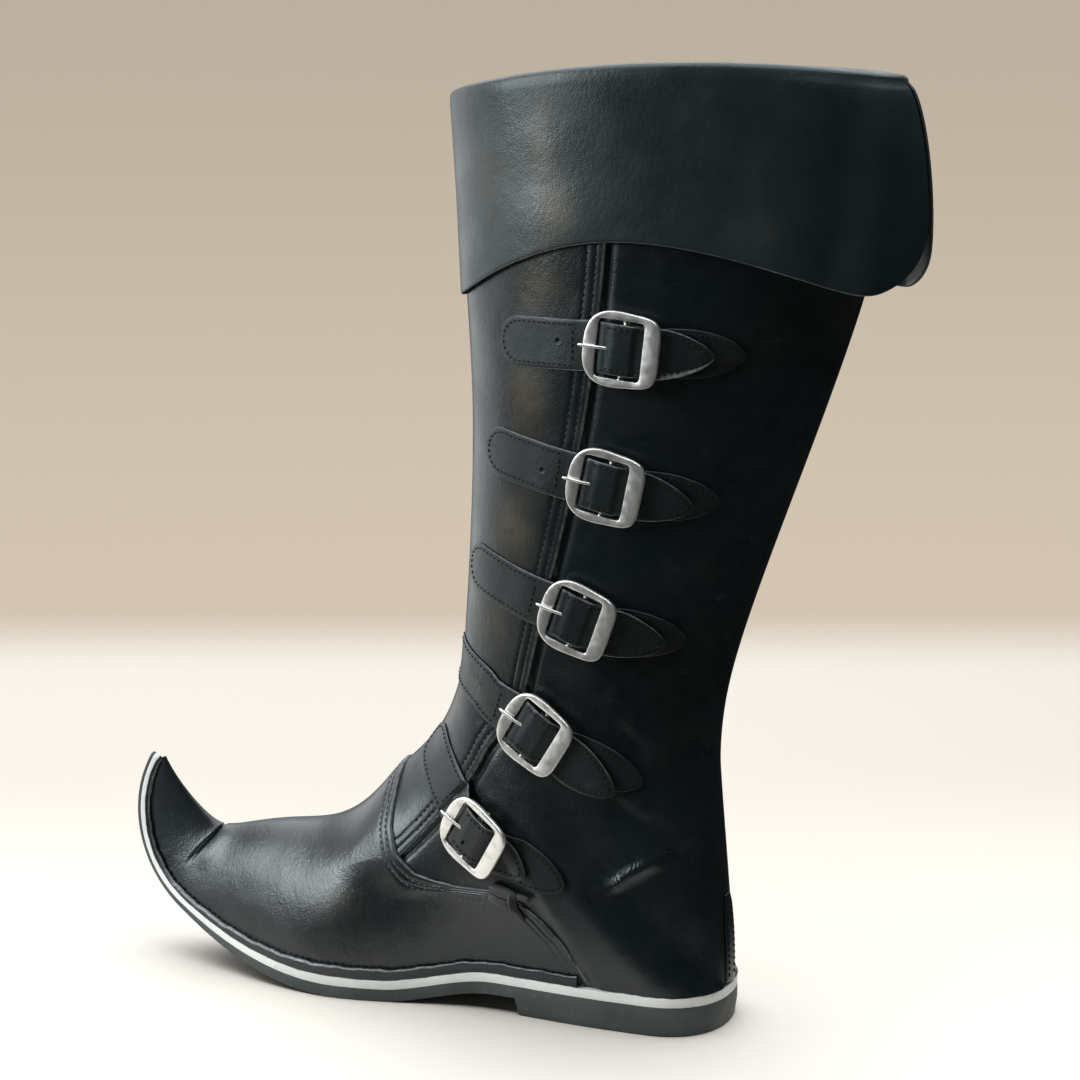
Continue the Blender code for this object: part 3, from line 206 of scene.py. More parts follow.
TAB_THICK = 1.3
FRONT_END_ROUND = 13.0
FRONT_POWER = 2.0
TIP_ROUND = 26.0
TIP_POWER = 1.55
TAB_ROUND = 28.0
TAB_POWER = 1.8
END_SLACK = 0.15
FLAT_REACH = 8.0
DRAPE_REACH = 24.0

# Buckle: rounded towards the front, with a wide straight bar at the back
BUCKLE_FRONT = 19.8
BUCKLE_BACK = 18.4
BUCKLE_HALF = 19.5
BUCKLE_TAPER = 2.6
BUCKLE_OPEN_FRONT = 13.2
BUCKLE_OPEN_BACK = 10.0
BUCKLE_OPEN_HALF = 14.1
BUCKLE_LOW = 4.6
BUCKLE_THICK = 2.6
BUCKLE_FRONT_POWER = 2.7
BUCKLE_BACK_POWER = 5.0
POST_HALF = 13.6
POST_OUT = 17.0
PRONG_RADIUS = 0.8

# Path of the tab's middle line round the bar, and of the prong
TAB_FOLD = table(
    "along lift",
    (12.0, 1.2), (4.0, 1.35), (-1.4, 1.35), (-2.8, 2.1), (-3.0, 3.4), (-2.8, 4.7), (-1.4, 5.45),
    (3.2, 5.4), (4.8, 5.3),
)
PRONG_PATH = table(
    "along lift",
    (-2.0, 1.7), (0.0, 1.3), (2.0, 1.8), (2.7, 3.4), (1.9, 4.9), (-0.5, 5.25), (-7.5, 6.5),
    (-13.5, 8.1), (-21.6, 8.35),
)

# Knotted thong at the end of the side seam, and the strip on the back seam
KNOT_PLACE = Closure(14.0, 64.8, 14.0, 0.0, 10.0, 10.0, 10.0, 0.0, 0.0, 0.0)
STAY_RING = 19
STAY_SHARE = 0.12
STAY_ROWS = table(
    "level half",
    (0.5, 6.5), (10.0, 6.5), (20.0, 6.5), (30.0, 6.5), (40.0, 5.8), (46.0, 3.2),
)

# Camera at the photo's place, turned so that the one boot stands in the middle
CAMERA_PLACE = (0.5048, -1.2015, 0.46)
CAMERA_PITCH = math.radians(9.55)
CAMERA_YAW = math.radians(22.0)
CAMERA_LENS = 86.13
CAMERA_SENSOR = 36.0

# Columns of the upper: distances from the front panel's edge, and counts of the plain ones
SLIT_BEHIND = [12.0, 9.0, 7.0, 5.5, 4.2, 3.1, 2.2, 1.4, 0.8, 0.3, 0.05]
SLIT_AHEAD = [0.0, 0.1, 0.3, 0.6, 1.0, 1.7, 2.6, 3.4, 4.0, 4.6, 5.4, 6.6, 7.8, 8.4, 9.0, 9.6, 10.4,
              12.0, 14.0]
SLIT_ZONE = 0.4
SHARE_STEP = 0.004
SHARE_RINGS = 400
BACK_COUNT = 84
FRONT_COUNT = 36
INNER_COUNT = 48

# Rings of the upper, close together at the toe's crease, at the vamp's edge and at the ankle
VAMP_FROM = 7.5
PANEL_TO = 14.0
TOE_RINGS = np.concatenate([np.linspace(0.0, 3.7, 34), np.linspace(3.78, 4.6, 18),
                            np.linspace(4.7, VAMP_FROM, 30)[:-1]])
SHAFT_RINGS = np.concatenate([np.linspace(PANEL_TO, 17.6, 56), np.linspace(17.6, TOP_RING, 51)[1:]])
VAMP_AHEAD = np.array([14.0, 11.0, 9.2, 8.4, 7.6, 6.8, 5.6, 4.6, 4.0, 3.4, 2.8, 1.9, 1.2, 0.7, 0.35,
                       0.1, 0.0])
VAMP_BEHIND = np.array([0.05, 0.6, 1.4, 2.6, 4.5, 7.5])
VAMP_ZONE = 0.6
VAMP_COUNT = 10
PANEL_COUNT = 20
RING_STEP = 0.05
ON_EDGE = 1e-6

# Cut and sewn edges of the upper
STITCH_ROWS = (4.0, 9.0)
VAMP_STITCH_ROWS = (4.0, 7.6)
TOP_LIFT = 0.12
GROOVE = 0.35
GROOVE_WIDE = 0.7
EDGE_ROUND = 0.9
EDGE_RIM = 1.0
SLIT_TROUGH = 1.3
SLIT_TROUGH_AT = 2.2
SLIT_TROUGH_WIDE = 2.2
SLIT_TROUGH_FADE = 0.6
SLIT_WEAR = 0.8
SLIT_WEAR_WIDE = 0.6
VAMP_WEAR = 0.75
VAMP_WEAR_WIDE = 0.55

# How near the leather comes to the tip of the sole, and the rings that reach for it
TIP_SHORT = 1.5
TIP_RINGS = 1.6

# Rings over which the surface is softened
SOFT_FROM = 14.1
SOFT_TO = 19.0
SOFT_FADE = 1.2
SOFT_SEAT = 0.06
SOFT_ROUNDS = 220

# Creases: soft ridges above zero and troughs below it, through places seen from the side
Crease = namedtuple("Crease", "height wide both_sides path")
DART_SEAM = Crease(-1.1, 1.3, True, [(66.3, 73.8), (70.9, 79.3), (77.0, 85.4), (88.3, 92.1),
                                     (101.0, 94.8)])
CREASES = [
    Crease(3.0, 4.2, True, [(65.0, 70.0), (71.5, 76.5), (78.0, 82.0), (88.5, 88.8), (101.0, 91.5)]),
    DART_SEAM,
    Crease(-1.0, 5.0, False, [(66.0, 119.5), (74.6, 116.3), (83.5, 110.5), (92.9, 105.4),
                              (103.0, 101.0)]),
    Crease(0.8, 6.0, False, [(70.0, 128.0), (82.0, 121.0), (95.0, 113.0)]),
    Crease(1.7, 7.0, False, [(64.0, 178.0), (71.9, 171.0), (82.8, 160.6), (94.1, 148.7),
                             (102.0, 140.3)]),
    Crease(-1.5, 6.0, False, [(70.0, 160.0), (80.0, 151.0), (92.0, 138.0)]),
    Crease(-1.0, 6.5, False, [(88.0, 134.0), (97.0, 125.0), (105.0, 118.0)]),
    Crease(0.9, 6.5, False, [(90.0, 124.0), (98.0, 116.0), (106.0, 109.0)]),
]

# Crease of the toe and the bulge behind it, through rings and shares
TOE_CREASES = [
    Crease(-1.8, 0.9, True, [(4.10, 0.54), (4.12, 0.47), (4.16, 0.40), (4.25, 0.33), (4.26, 0.26),
                             (4.26, 0.20), (4.28, 0.14), (4.32, 0.08)]),
    Crease(0.8, 5.0, True, [(4.62, 0.50), (4.62, 0.40), (4.65, 0.33), (4.68, 0.25), (4.70, 0.17),
                            (4.74, 0.10)]),
]
CREASE_STEPS = 12
CREASE_REACH = 3.0
CREASE_FADE = 0.3

# Brown rubbed patches, by place and reach
PATCHES = table(
    "place reach share",
    ((38.0, -48.0, 374.0), (14.0, 18.0, 15.0), 0.62),
    ((30.0, -46.0, 320.0), (11.0, 18.0, 22.0), 0.70),
    ((20.0, -42.0, 254.0), (12.0, 18.0, 20.0), 0.60),
    ((8.0, -38.0, 205.0), (12.0, 16.0, 14.0), 0.30),
    ((41.0, -54.0, 440.0), (8.0, 20.0, 22.0), 0.80),
    ((49.0, -56.0, 410.0), (10.0, 20.0, 14.0), 0.60),
    ((14.0, -46.0, 420.0), (18.0, 18.0, 26.0), 0.25),
    ((-88.0, -38.0, 52.0), (14.0, 16.0, 8.0), 0.35),
)

# Soft dents and bulges of the cuff
CUFF_COLUMNS = 210
CUFF_EVEN = 0.7
CUFF_DENT_DEEP = 0.4
CUFF_WEAR = 0.4
CUFF_DENTS = table(
    "around level wide tall height",
    (0.30, 430.0, 26.0, 40.0, 0.8), (0.20, 420.0, 22.0, 34.0, -0.8), (0.13, 440.0, 20.0, 26.0, 0.7),
    (0.06, 400.0, 18.0, 22.0, -0.7), (0.40, 455.0, 18.0, 18.0, -0.6), (0.62, 430.0, 26.0, 34.0, 0.8),
    (0.76, 415.0, 26.0, 34.0, -0.8), (0.88, 440.0, 22.0, 28.0, 0.8),
)

# Edges of the sole's layers: counts along them, rounding, and the heel by level and inset
HEEL_STEPS = 40
HEEL_SIDE_STEPS = 24
WAIST_STEPS = 70
FORE_STEPS = 110
TIP_STEPS = 10
TIP_ROUND_RUN = 2.0
CORNER_STEPS = 4
OUTSOLE_SHORT = 0.05
OUTSOLE_ROUND = 0.5
LAYER_ROUND = 0.15
WHITE_ROUND = 0.35
WHITE_INSET = 0.15
WHITE_WAVES = [(41.0, 0.16, 0.4), (17.3, 0.13, 1.9), (7.1, 0.10, 0.7), (3.3, 0.06, 2.2)]
WHITE_WEAR = 0.8
WHITE_WORN_RIMS = 3
HEEL_LAP = 0.4
HEEL_LEVELS = [(0.0, 0.7), (0.2, 0.25), (0.7, 0.0), (4.0, 0.0), (HEEL_LIFT + HEEL_LAP, 0.0)]

# Welt: sunk a little into the gaps round it, with a rolled top and uneven height
WELT_SUNK = 0.45
WELT_TIP_OVER = 0.3
WELT_TIP_SHORT = 3.0
WELT_OFF_WALL = 0.25
WELT_SEAT_SHARE = 0.4
WELT_BEAD = 1.3
WELT_TURNS = 7
WELT_BACK_STEPS = 70
WELT_FORE_STEPS = 120
WELT_FACE = [(0.25, 0.55), (0.05, 0.25), (0.0, 0.0)]
WELT_TIP_FACE = [(0.15, 0.55), (0.05, 0.25), (0.0, 0.0)]
WELT_TIP_BEAD = 0.25
WELT_WAVES = [(23.0, 0.22, 0.3), (11.0, 0.16, 1.1), (5.2, 0.08, 2.0)]
# Painted highlight: a pale tint on these rows of the welt's rolled top, standing for light along it
WELT_TOP_HIGHLIGHT = 0.6
WELT_HIGHLIT_ROWS = slice(5, 8)
WELT_SEAM_SHARE = 0.6

# Stitches: sizes by seam, and the shape of one by place along it, size and rise
Sewing = namedtuple("Sewing", "pitch length radius")
PANEL_SEWING = Sewing(3.3, 2.4, 0.42)
VAMP_SEWING = Sewing(3.4, 2.3, 0.40)
DART_SEWING = Sewing(3.0, 2.0, 0.4)
WELT_SEWING = Sewing(4.2, 2.6, 0.42)
STRAP_SEWING = Sewing(3.0, 2.1, 0.38)
STAY_SEWING = Sewing(3.2, 2.2, 0.38)
STITCH_SIDES = 6
STITCH_SHAPE = [(-1.0, 0.35, -0.55), (-0.8, 0.8, -0.1), (-0.3, 1.0, 0.15), (0.3, 1.0, 0.15),
                (0.8, 0.8, -0.1), (1.0, 0.35, -0.55)]
STITCH_UP = 0.1
PANEL_SEAM = np.linspace(9.75, 23.6, 160)
VAMP_SEAM = np.concatenate([np.linspace(0.13, 0.2, 60), np.linspace(0.2, 0.8, 120)[1:],
                            np.linspace(0.8, 0.87, 60)[1:]])
WELT_SEAM = np.linspace(TREAD_X - WELT_BACK_X + 4.0, TOE_STATION - 30.0, 150)

# Height of a strap's underside off the back panel, by distance behind the middle bar
STRAP_LIFT = table(
    "along lift",
    (-27.0, 0.0), (-20.0, 2.2), (-16.0, 2.3), (-9.5, 5.4), (-3.5, 6.6), (4.5, 6.6), (9.6, 2.5),
    (22.0, 2.8), (54.0, 3.5),
)

# Straps and tabs: sewn ends that lie flatter, counts of rows, worn tip, holes and seams
SEWN_SEAT = 0.2
SEWN_SHARE = 0.40
SEWN_FROM = -46.0
SEWN_FADE = 20.0
STRAP_COLUMNS = 15
STRAP_BEND = (-24.0, 18.0)
FRONT_END_STEPS = 14
FRONT_PLAIN_STEPS = 24
BEND_STEPS = 44
TAIL_PLAIN_STEPS = 6
TAIL_END_STEPS = 18
STRAP_WEAR = 0.7
TAB_WEAR = 0.15
WORN_TIP_FROM = 19.0
WORN_TIP_SIDE = -0.74
Hole = namedtuple("Hole", "along across")
HOLES = {1: Hole(-34.0, 1.5), 2: Hole(-34.5, -1.0), 5: Hole(-2.0, -5.0)}
HOLE_STEPS = np.array([-2.4, -1.8, -1.4, -1.1, -0.8, -0.4, 0.0, 0.4, 0.8, 1.1, 1.4, 1.8, 2.4])
HOLE_ROW_GAP = 0.3
HOLE_COLUMN_GAP = 0.02
HOLE_DEEP = 1.2
HOLE_RADIUS = 0.7
HOLE_EDGE = 0.8
HOLE_RIM = 0.05
HOLE_RIM_AT = 1.9
HOLE_RIM_WIDE = 0.5
STITCH_INSET = 2.5
SEAM_STEPS = 60
FRONT_SEAM_TO = -26.0
CROSS_SEAM_HALF = 7.6
CROSS_SEAM_STEPS = 12
TIP_SEAM_FROM = -9.0
TAB_SEAM_FROM = 20.0
TAB_TOP = TAB_FOLD[0].lift + TAB_THICK / 2.0
TAB_FLAT_TO = 13.0
TAB_COLUMNS = 13
TAB_END_STEPS = 20
TAB_PLAIN_STEPS = 5
TAB_FOLD_STEPS = 34

# Buckles: rounding of the frame; middle bar and lugs by place across, height and radius
FRAME_SIDES = 96
FRAME_TURNS = 9
OPEN_TURNS = 7
OPEN_POWER = 14.0
FRAME_EDGE = 0.9
FRAME_EDGE_TALL = 1.3
FRAME_CROWN = 0.12
OPEN_EDGE = 0.6
OPEN_EDGE_UNDER = 1.0
OPEN_EDGE_TALL = 0.7
OPEN_EDGE_DEEP = 1.6
ROD_SIDES = 12
BAR_END = POST_OUT - 0.6
BAR = [(-BAR_END, 3.2, 1.0), (-POST_HALF, 3.4, 1.5), (0.0, 3.4, 1.4), (POST_HALF, 3.4, 1.5),
       (BAR_END, 3.2, 1.0)]
LUG = [(13.3, 5.4, 0.7), (13.6, 5.4, 1.2), (14.6, 5.3, 1.5), (16.2, 5.0, 1.4)]
PRONG_STEPS = 40
PRONG_TIP_RUN = 1.2
PRONG_TIP_LEAST = 0.25

# Strands of the knot, in the buckles' kind of axes
LOBES = table(
    "start end half height seat",
    ((-9.0, 2.2), (8.5, 2.6), 2.9, 3.4, 2.2), ((-8.5, -2.4), (7.0, -2.9), 2.8, 3.2, 2.2),
    ((3.5, 4.4), (7.5, -5.0), 2.0, 4.4, 2.4), ((6.0, 3.0), (16.0, 4.0), 1.8, 1.8, 2.2),
    ((6.0, -3.2), (13.5, -8.5), 1.7, 1.5, 2.0),
)
LOBE_STEPS = 22
LOBE_SIDES = 16
LOBE_END = 0.02
LOBE_POWER = 3.2
LOBE_UNDER = 0.4

# Strip on the back seam
STAY_LIFT = 0.9
STAY_STEPS = 40
STAY_ACROSS = 11
STAY_SEAM_COLUMNS = (2, 8)
STAY_SEAM_ROWS = slice(2, -6)

# Rims of sheets
RIM_THICK_SHARE = 0.9
RIM_REACH_SHARE = 0.45
RIM_TURNS = 3

# Leather's shine, the heights in metres over which the foot's wax fades, and the pale tint of worn
# edges, also used as a painted highlight on the welt's top
SHEEN = (0.88, 0.97, 1.0, 1.0)
FOOT_WAX = (0.085, 0.150)
WORN_EDGE_AND_HIGHLIGHT = ((0.10, 0.11, 0.115), (0.24, 0.25, 0.26))

# Studio: the floor's colours, with painted shade towards the left and the back, and how far reflections
# see it, the lamps and the backdrop
FLOOR_HALF = 1.05
FLOOR_WHOLE = 0.72
FLOOR_SEEN = 0.185
FLOOR_RIGHT = 0.12
FLOOR_FADE = 0.10
FLOOR_PALE = ((0.86, 0.805, 0.735), (0.89, 0.835, 0.765))
FLOOR_PAINTED_SHADE = (0.56, 0.515, 0.455)
SHADE_TO_LEFT = (-0.55, -0.05, 0.45, 0.0)
SHADE_TO_BACK = (-0.22, 0.50, 0.0, 0.9)
LAMPS = table(
    "name place aim size radiance colour on_floor",
    ("key", (-1.32, -1.05, 0.88), (-0.05, 0.0, 0.18), (0.72, 0.90), 12.0, (0.92, 0.98, 1.0), False),
    ("overhead", (-0.40, 0.40, 1.95), (-0.40, 0.40, 0.0), (3.2, 3.6), 3.2, (0.96, 0.985, 1.0), True),
)
GLOWS = table(
    "side low high dim bright",
    ((-0.97, 0.24, 0.0), 0.76, 1.0, (0.014, 0.015, 0.016), (2.0, 1.99, 2.0)),
    ((-0.32, 0.79, 0.52), 0.80, 1.0, (0.0, 0.0, 0.0), (0.80, 0.86, 0.92)),
)
BACKDROP = (-0.2, 0.06, (0.66, 0.56, 0.45), (0.50, 0.43, 0.345))


def smooth(share):
    """Ease from 0 to 1."""
    share = np.clip(share, 0.0, 1.0)
    return share * share * (3.0 - 2.0 * share)


def unit(vectors):
    """Vectors made one long."""
    return vectors / np.linalg.norm(vectors, axis=-1, keepdims=True)


def interpolated(place, places, values):
    """Vectors between the rows of vectors at known places."""
    return np.stack([np.interp(place, places, part) for part in np.asarray(values, float).T], -1)


def lengths_along(path):
    """Distance of each point of a path from its start."""
    return np.concatenate([[0.0], np.cumsum(np.linalg.norm(np.diff(path, axis=0), axis=1))])


def full_turn(count):
    """Angles spaced evenly round a circle."""
    return np.linspace(0.0, 2.0 * math.pi, count, endpoint=False)


def from_seat(around):
    """Share of the way up from the nearer side's seat or back seam."""
    return 0.5 - np.abs(around - 0.5)


def column(rows, name):
    """One named column of a table."""
    return [getattr(row, name) for row in rows]


def eased(rows, place, key, value):
    """Value of a table at a place, eased between its rows."""
    keys = np.array(column(rows, key), float)
    values = np.array(column(rows, value), float)
    index = np.clip(np.searchsorted(keys, place) - 1, 0, len(keys) - 2)
    share = (place - keys[index]) / (keys[index + 1] - keys[index])
    return values[index] + (values[index + 1] - values[index]) * smooth(share)


class Spline:
    """Natural cubic spline through the rows of a table."""

    def __init__(self, places, values):
        self.places = np.array(places, float)
        self.values = np.array(values, float)
        steps = np.diff(self.places)
        slopes = np.diff(self.values) / steps
        matrix = np.eye(len(places))
        right = np.zeros(len(places))
        for i in range(1, len(places) - 1):
            matrix[i, i - 1:i + 2] = steps[i - 1], 2.0 * (steps[i - 1] + steps[i]), steps[i]
            right[i] = 6.0 * (slopes[i] - slopes[i - 1])
        self.bends = np.linalg.solve(matrix, right)

    def __call__(self, place):
        place = np.clip(place, self.places[0], self.places[-1])
        index = np.clip(np.searchsorted(self.places, place) - 1, 0, len(self.places) - 2)
        step = self.places[index + 1] - self.places[index]
        after = (place - self.places[index]) / step
        before = 1.0 - after
        bend = (before ** 3 - before) * self.bends[index]
        bend = bend + (after ** 3 - after) * self.bends[index + 1]
        straight = before * self.values[index] + after * self.values[index + 1]
        return straight + bend * step ** 2 / 6.0


def rings_spline(name):
    """Spline over all rings through one column that both tables have."""
    values = column(FOOT_ROWS, name) + column(SHAFT_ROWS, name)
    return Spline(range(len(values)), values)


SOLE_STATIONS = column(SOLE_ROWS[::-1], "station")
SOLE_OUTER = Spline(SOLE_STATIONS, column(SOLE_ROWS[::-1], "outer"))
SOLE_INNER = Spline(SOLE_STATIONS, column(SOLE_ROWS[::-1], "inner"))
FRONT_X = rings_spline("front_x")
FRONT_Z = rings_spline("front_z")
GIRTH = rings_spline("girth")
POWER = rings_spline("power")
STATION = Spline(range(HEEL_RING + 1), column(FOOT_ROWS, "station"))
SLIT = Spline(column(SLIT_ROWS, "ring"), column(SLIT_ROWS, "around"))
CUFF_SHARES = column(CUFF_ROWS, "around") + [1.0 - row.around for row in CUFF_ROWS[-2::-1]]
CUFF_LOW = Spline(CUFF_SHARES, column(CUFF_ROWS, "low") + column(CUFF_ROWS[-2::-1], "low"))


def tread_line(station):
    """Outsole's underside on the centre line: x, z and slope, by distance ahead of the tread."""
    station = np.asarray(station, float)
    spring = SPRING_RADIUS * SPRING_ANGLE
    ahead = np.maximum(station, 0.0)
    curled = SPRING_ANGLE + (ahead - spring) / CURL_RADIUS
    slope = np.where(ahead < spring, ahead / SPRING_RADIUS, curled)
    sprung = np.minimum(slope, SPRING_ANGLE)
    x = TREAD_X - SPRING_RADIUS * np.sin(sprung) - CURL_RADIUS * (np.sin(slope) - np.sin(sprung))
    x = x + np.maximum(-station, 0.0)
    z = SPRING_RADIUS * (1.0 - np.cos(sprung)) + CURL_RADIUS * (np.cos(sprung) - np.cos(slope))
    z = z + HEEL_LIFT * smooth((x - SHANK_FRONT_X) / (SHANK_BACK_X - SHANK_FRONT_X))
    return x, z, slope


def thinned(full, tip, station):
    """Thickness of a layer that is thinner towards the tip of the toe."""
    return full + (tip - full) * smooth(station / THIN_END)


def outsole_thick(station):
    """Thickness of the outsole."""
    return thinned(OUTSOLE_THICK, OUTSOLE_TIP, station)


def midsole_top(station):
    """Height of the midsole's top over the outsole's underside."""
    return outsole_thick(station) + GAP + thinned(MIDSOLE_THICK, MIDSOLE_TIP, station)


def welt_tall(station):
    """Height of the welt over the midsole."""
    return thinned(WELT_HEIGHT, WELT_TIP_HEIGHT, station)


def half_widths(station, grow=0.0):
    """Outer and inner half widths of the sole's outline, grown or shrunk."""
    x = np.where(station < 0.0, TREAD_X - station, TREAD_X)
    reach = np.clip((x - (HEEL_BACK_X - HEEL_ROUND)) / (HEEL_ROUND + grow), 0.0, 1.0)
    rounding = (1.0 - reach ** HEEL_POWER) ** (1.0 / HEEL_POWER)
    outer = np.maximum(SOLE_OUTER(station) + grow, LEAST_HALF) * rounding
    inner = np.maximum(SOLE_INNER(station) + grow, LEAST_HALF) * rounding
    return outer, inner


def seat_inset(station):
    """How far the upper's seat lies inside the midsole's edge."""
    outer, inner = half_widths(station)
    width = (outer + inner) / 2.0
    welted = WELT_WIDTH * width / (width + WELT_FADE)
    x = np.where(station < 0.0, TREAD_X - station, TREAD_X)
    return welted + (PLAIN_SEAT_INSET - welted) * smooth((x - PLAIN_SEAT_X) / PLAIN_SEAT_BLEND)


def sole_point(station, across, height):
    """Point above the outsole's underside, square to the sole's bend."""
    x, z, slope = tread_line(station)
    point = x + height * np.sin(slope), np.asarray(across, float), z + height * np.cos(slope)
    return np.stack(np.broadcast_arrays(*point), -1)


def sole_up(station):
    """Direction square to the sole's bend."""
    slope = tread_line(station)[2]
    return np.stack([np.sin(slope), np.zeros_like(slope), np.cos(slope)], -1)


def seat_height(station):
    """Height of the upper's seat over the outsole's underside."""
    return midsole_top(station) + SEAT_GAP


BACK_RING_NUMBERS = range(HEEL_RING, TOP_RING + 1)
HEEL_SEAT = sole_point(STATION(HEEL_RING), 0.0, seat_height(STATION(HEEL_RING)))
BACK_X = Spline(BACK_RING_NUMBERS, [HEEL_SEAT[0]] + column(SHAFT_ROWS, "back_x"))
BACK_Z = Spline(BACK_RING_NUMBERS, [HEEL_SEAT[2]] + column(SHAFT_ROWS, "back_z"))


def upper_surface(ring, around):
    """Outer face of the leather: ring from toe to collar, around from outer seat over the front."""
    ring, around = np.broadcast_arrays(np.asarray(ring, float), np.asarray(around, float))
    station = STATION(ring)
    on_sole = ring < HEEL_RING
    seat = sole_point(station, 0.0, seat_height(station))
    base_x = np.where(on_sole, seat[..., 0], BACK_X(ring))
    base_z = np.where(on_sole, seat[..., 2], BACK_Z(ring))
    outer, inner = half_widths(station)
    width = np.where(around < 0.5, outer, inner) - seat_inset(station)
    width = np.where(on_sole, np.maximum(width, 0.0), 0.0)
    widest = (width ** WIDTH_BLEND + GIRTH(ring) ** WIDTH_BLEND) ** (1.0 / WIDTH_BLEND)
    tuck = np.arccos(np.clip(width / np.maximum(widest, TINY), 0.0, 1.0))
    angle = math.pi / 2.0 - 2.0 * np.abs(around - 0.5) * (math.pi / 2.0 + tuck)
    power = POWER(ring)
    rise = np.sign(np.sin(angle)) * np.abs(np.sin(angle)) ** power
    fall = np.sin(tuck) ** power
    height = (rise + fall) / (1.0 + fall)
    side = np.where(around < 0.5, -1.0, 1.0)
    arch = COLLAR_ARCH * smooth((ring - COLLAR_ARCH_START) / (TOP_RING - COLLAR_ARCH_START))
    x = base_x + (FRONT_X(ring) - base_x) * height
    y = side * widest * np.abs(np.cos(angle)) ** power
    to_inner = smooth((HEEL_RING - ring) / RIDGE_BACK_RINGS) * smooth(ring / RIDGE_TOE_RINGS)
    y = y + RIDGE_SHIFT * height * to_inner
    z = base_z + (FRONT_Z(ring) - base_z) * height + arch * np.cos(angle) ** 2
    return np.stack([x, y, z], -1)


def upper_normal(ring, around):
    """Outward unit normal of the leather."""
    ring_step = 0.02
    around_step = 0.002
    along = (upper_surface(np.minimum(ring + ring_step, TOP_RING), around)
             - upper_surface(np.maximum(ring - ring_step, 0.0), around))
    across = (upper_surface(ring, np.minimum(around + around_step, 1.0))
              - upper_surface(ring, np.maximum(around - around_step, 0.0)))
    return unit(np.cross(along, across))


def upper_offset(ring, around, lift):
    """Point off the leather by a distance along its normal."""
    ring, around, lift = np.broadcast_arrays(ring, around, lift)
    return upper_surface(ring, around) + upper_normal(ring, around) * lift[..., None]


def wall_thickness(ring):
    """Leather thickness, thinner towards the tip of the toe."""
    return TIP_WALL + (WALL - TIP_WALL) * smooth(ring / WALL_FULL_RING)


def vamp_edge(around):
    """Ring of the vamp's back edge."""
    return np.interp(from_seat(around), column(VAMP_ROWS, "around"), column(VAMP_ROWS, "ring"))


def ahead_of_slit(ring, around):
    """Distance round the leather from the front panel's free edge, towards the front."""
    girth = 2.0 * (np.abs(FRONT_X(ring) - BACK_X(np.maximum(ring, HEEL_RING))) + GIRTH(ring))
    return (around - SLIT(ring)) * girth


def flap_raise(ring, around):
    """Height of the front panel over the back panel ahead of its free edge."""
    ahead = ahead_of_slit(ring, around)
    under_cuff = smooth((FLAP_NONE_RING - ring) / (FLAP_NONE_RING - FLAP_END_RING))
    raised = FLAP_STEP * (1.0 - smooth(ahead / FLAP_FADE)) * under_cuff
    return np.where((ahead >= 0.0) & (around <= 0.5), raised, 0.0)


def vamp_raise(ring, around):
    """Height of the vamp over the panels that its back edge covers; none at the seat."""
    ahead = ahead_of_slit(ring, around)
    fade = np.where(ahead >= 0.0, FLAP_FADE, FLAP_BACK_FADE)
    covered = np.where(around < 0.5, FLAP_STEP * (1.0 - smooth(np.abs(ahead) / fade)), 0.0)
    behind = smooth((ring - vamp_edge(around) + VAMP_FADE) / VAMP_FADE)
    seat = smooth(from_seat(around) / VAMP_SEAT_FADE)
    return (VAMP_STEP + covered) * behind * seat


def panel_raise(ring, around):
    """Height of the leather's outer layers over the plain surface."""
    return np.where(ring <= vamp_edge(around), vamp_raise(ring, around), flap_raise(ring, around))


def seat_ring(station):
    """Ring of the upper whose seat lies at a station."""
    rings = np.linspace(0.0, HEEL_RING, SAMPLES)
    return np.interp(-np.asarray(station), -STATION(rings), rings)


def wall_reach(station, outer_side, height):
    """Half width of the upper at a height over its seat, seen square to the sole."""
    share = np.linspace(0.0, WELT_SHARE, SAMPLES)
    around = share if outer_side else 1.0 - share
    points = upper_surface(seat_ring(station), around)
    seat = sole_point(station, 0.0, seat_height(station))
    slope = tread_line(station)[2]
    rise = (points[:, 0] - seat[0]) * np.sin(slope) + (points[:, 2] - seat[2]) * np.cos(slope)
    return np.abs(np.interp(height, rise, points[:, 1]))


def level_with_seat(inner, outer, rings):
    """Bring the lower edge of the inner face to the height of the outer face's edge."""
    up = sole_up(STATION(rings))
    return inner - ((inner - outer) * up).sum(-1, keepdims=True) * up


def ring_at_height(around, level):
    """Ring of the shaft at a height, for one share around it."""
    rings = np.linspace(CUFF_LOW_RING, TOP_RING, SAMPLES)
    return np.interp(level, upper_surface(rings, around)[:, 2], rings)


def cuff_low(around):
    """Height of the cuff's lower edge, with a round corner at each back end."""
    share = from_seat(around)
    low = float(CUFF_LOW(share))
    from_end = (share - CUFF_END) * CUFF_GIRTH
    short = max(CUFF_CORNER - from_end, 0.0)
    return low + CUFF_CORNER - math.sqrt(max(CUFF_CORNER ** 2 - short ** 2, 0.0))


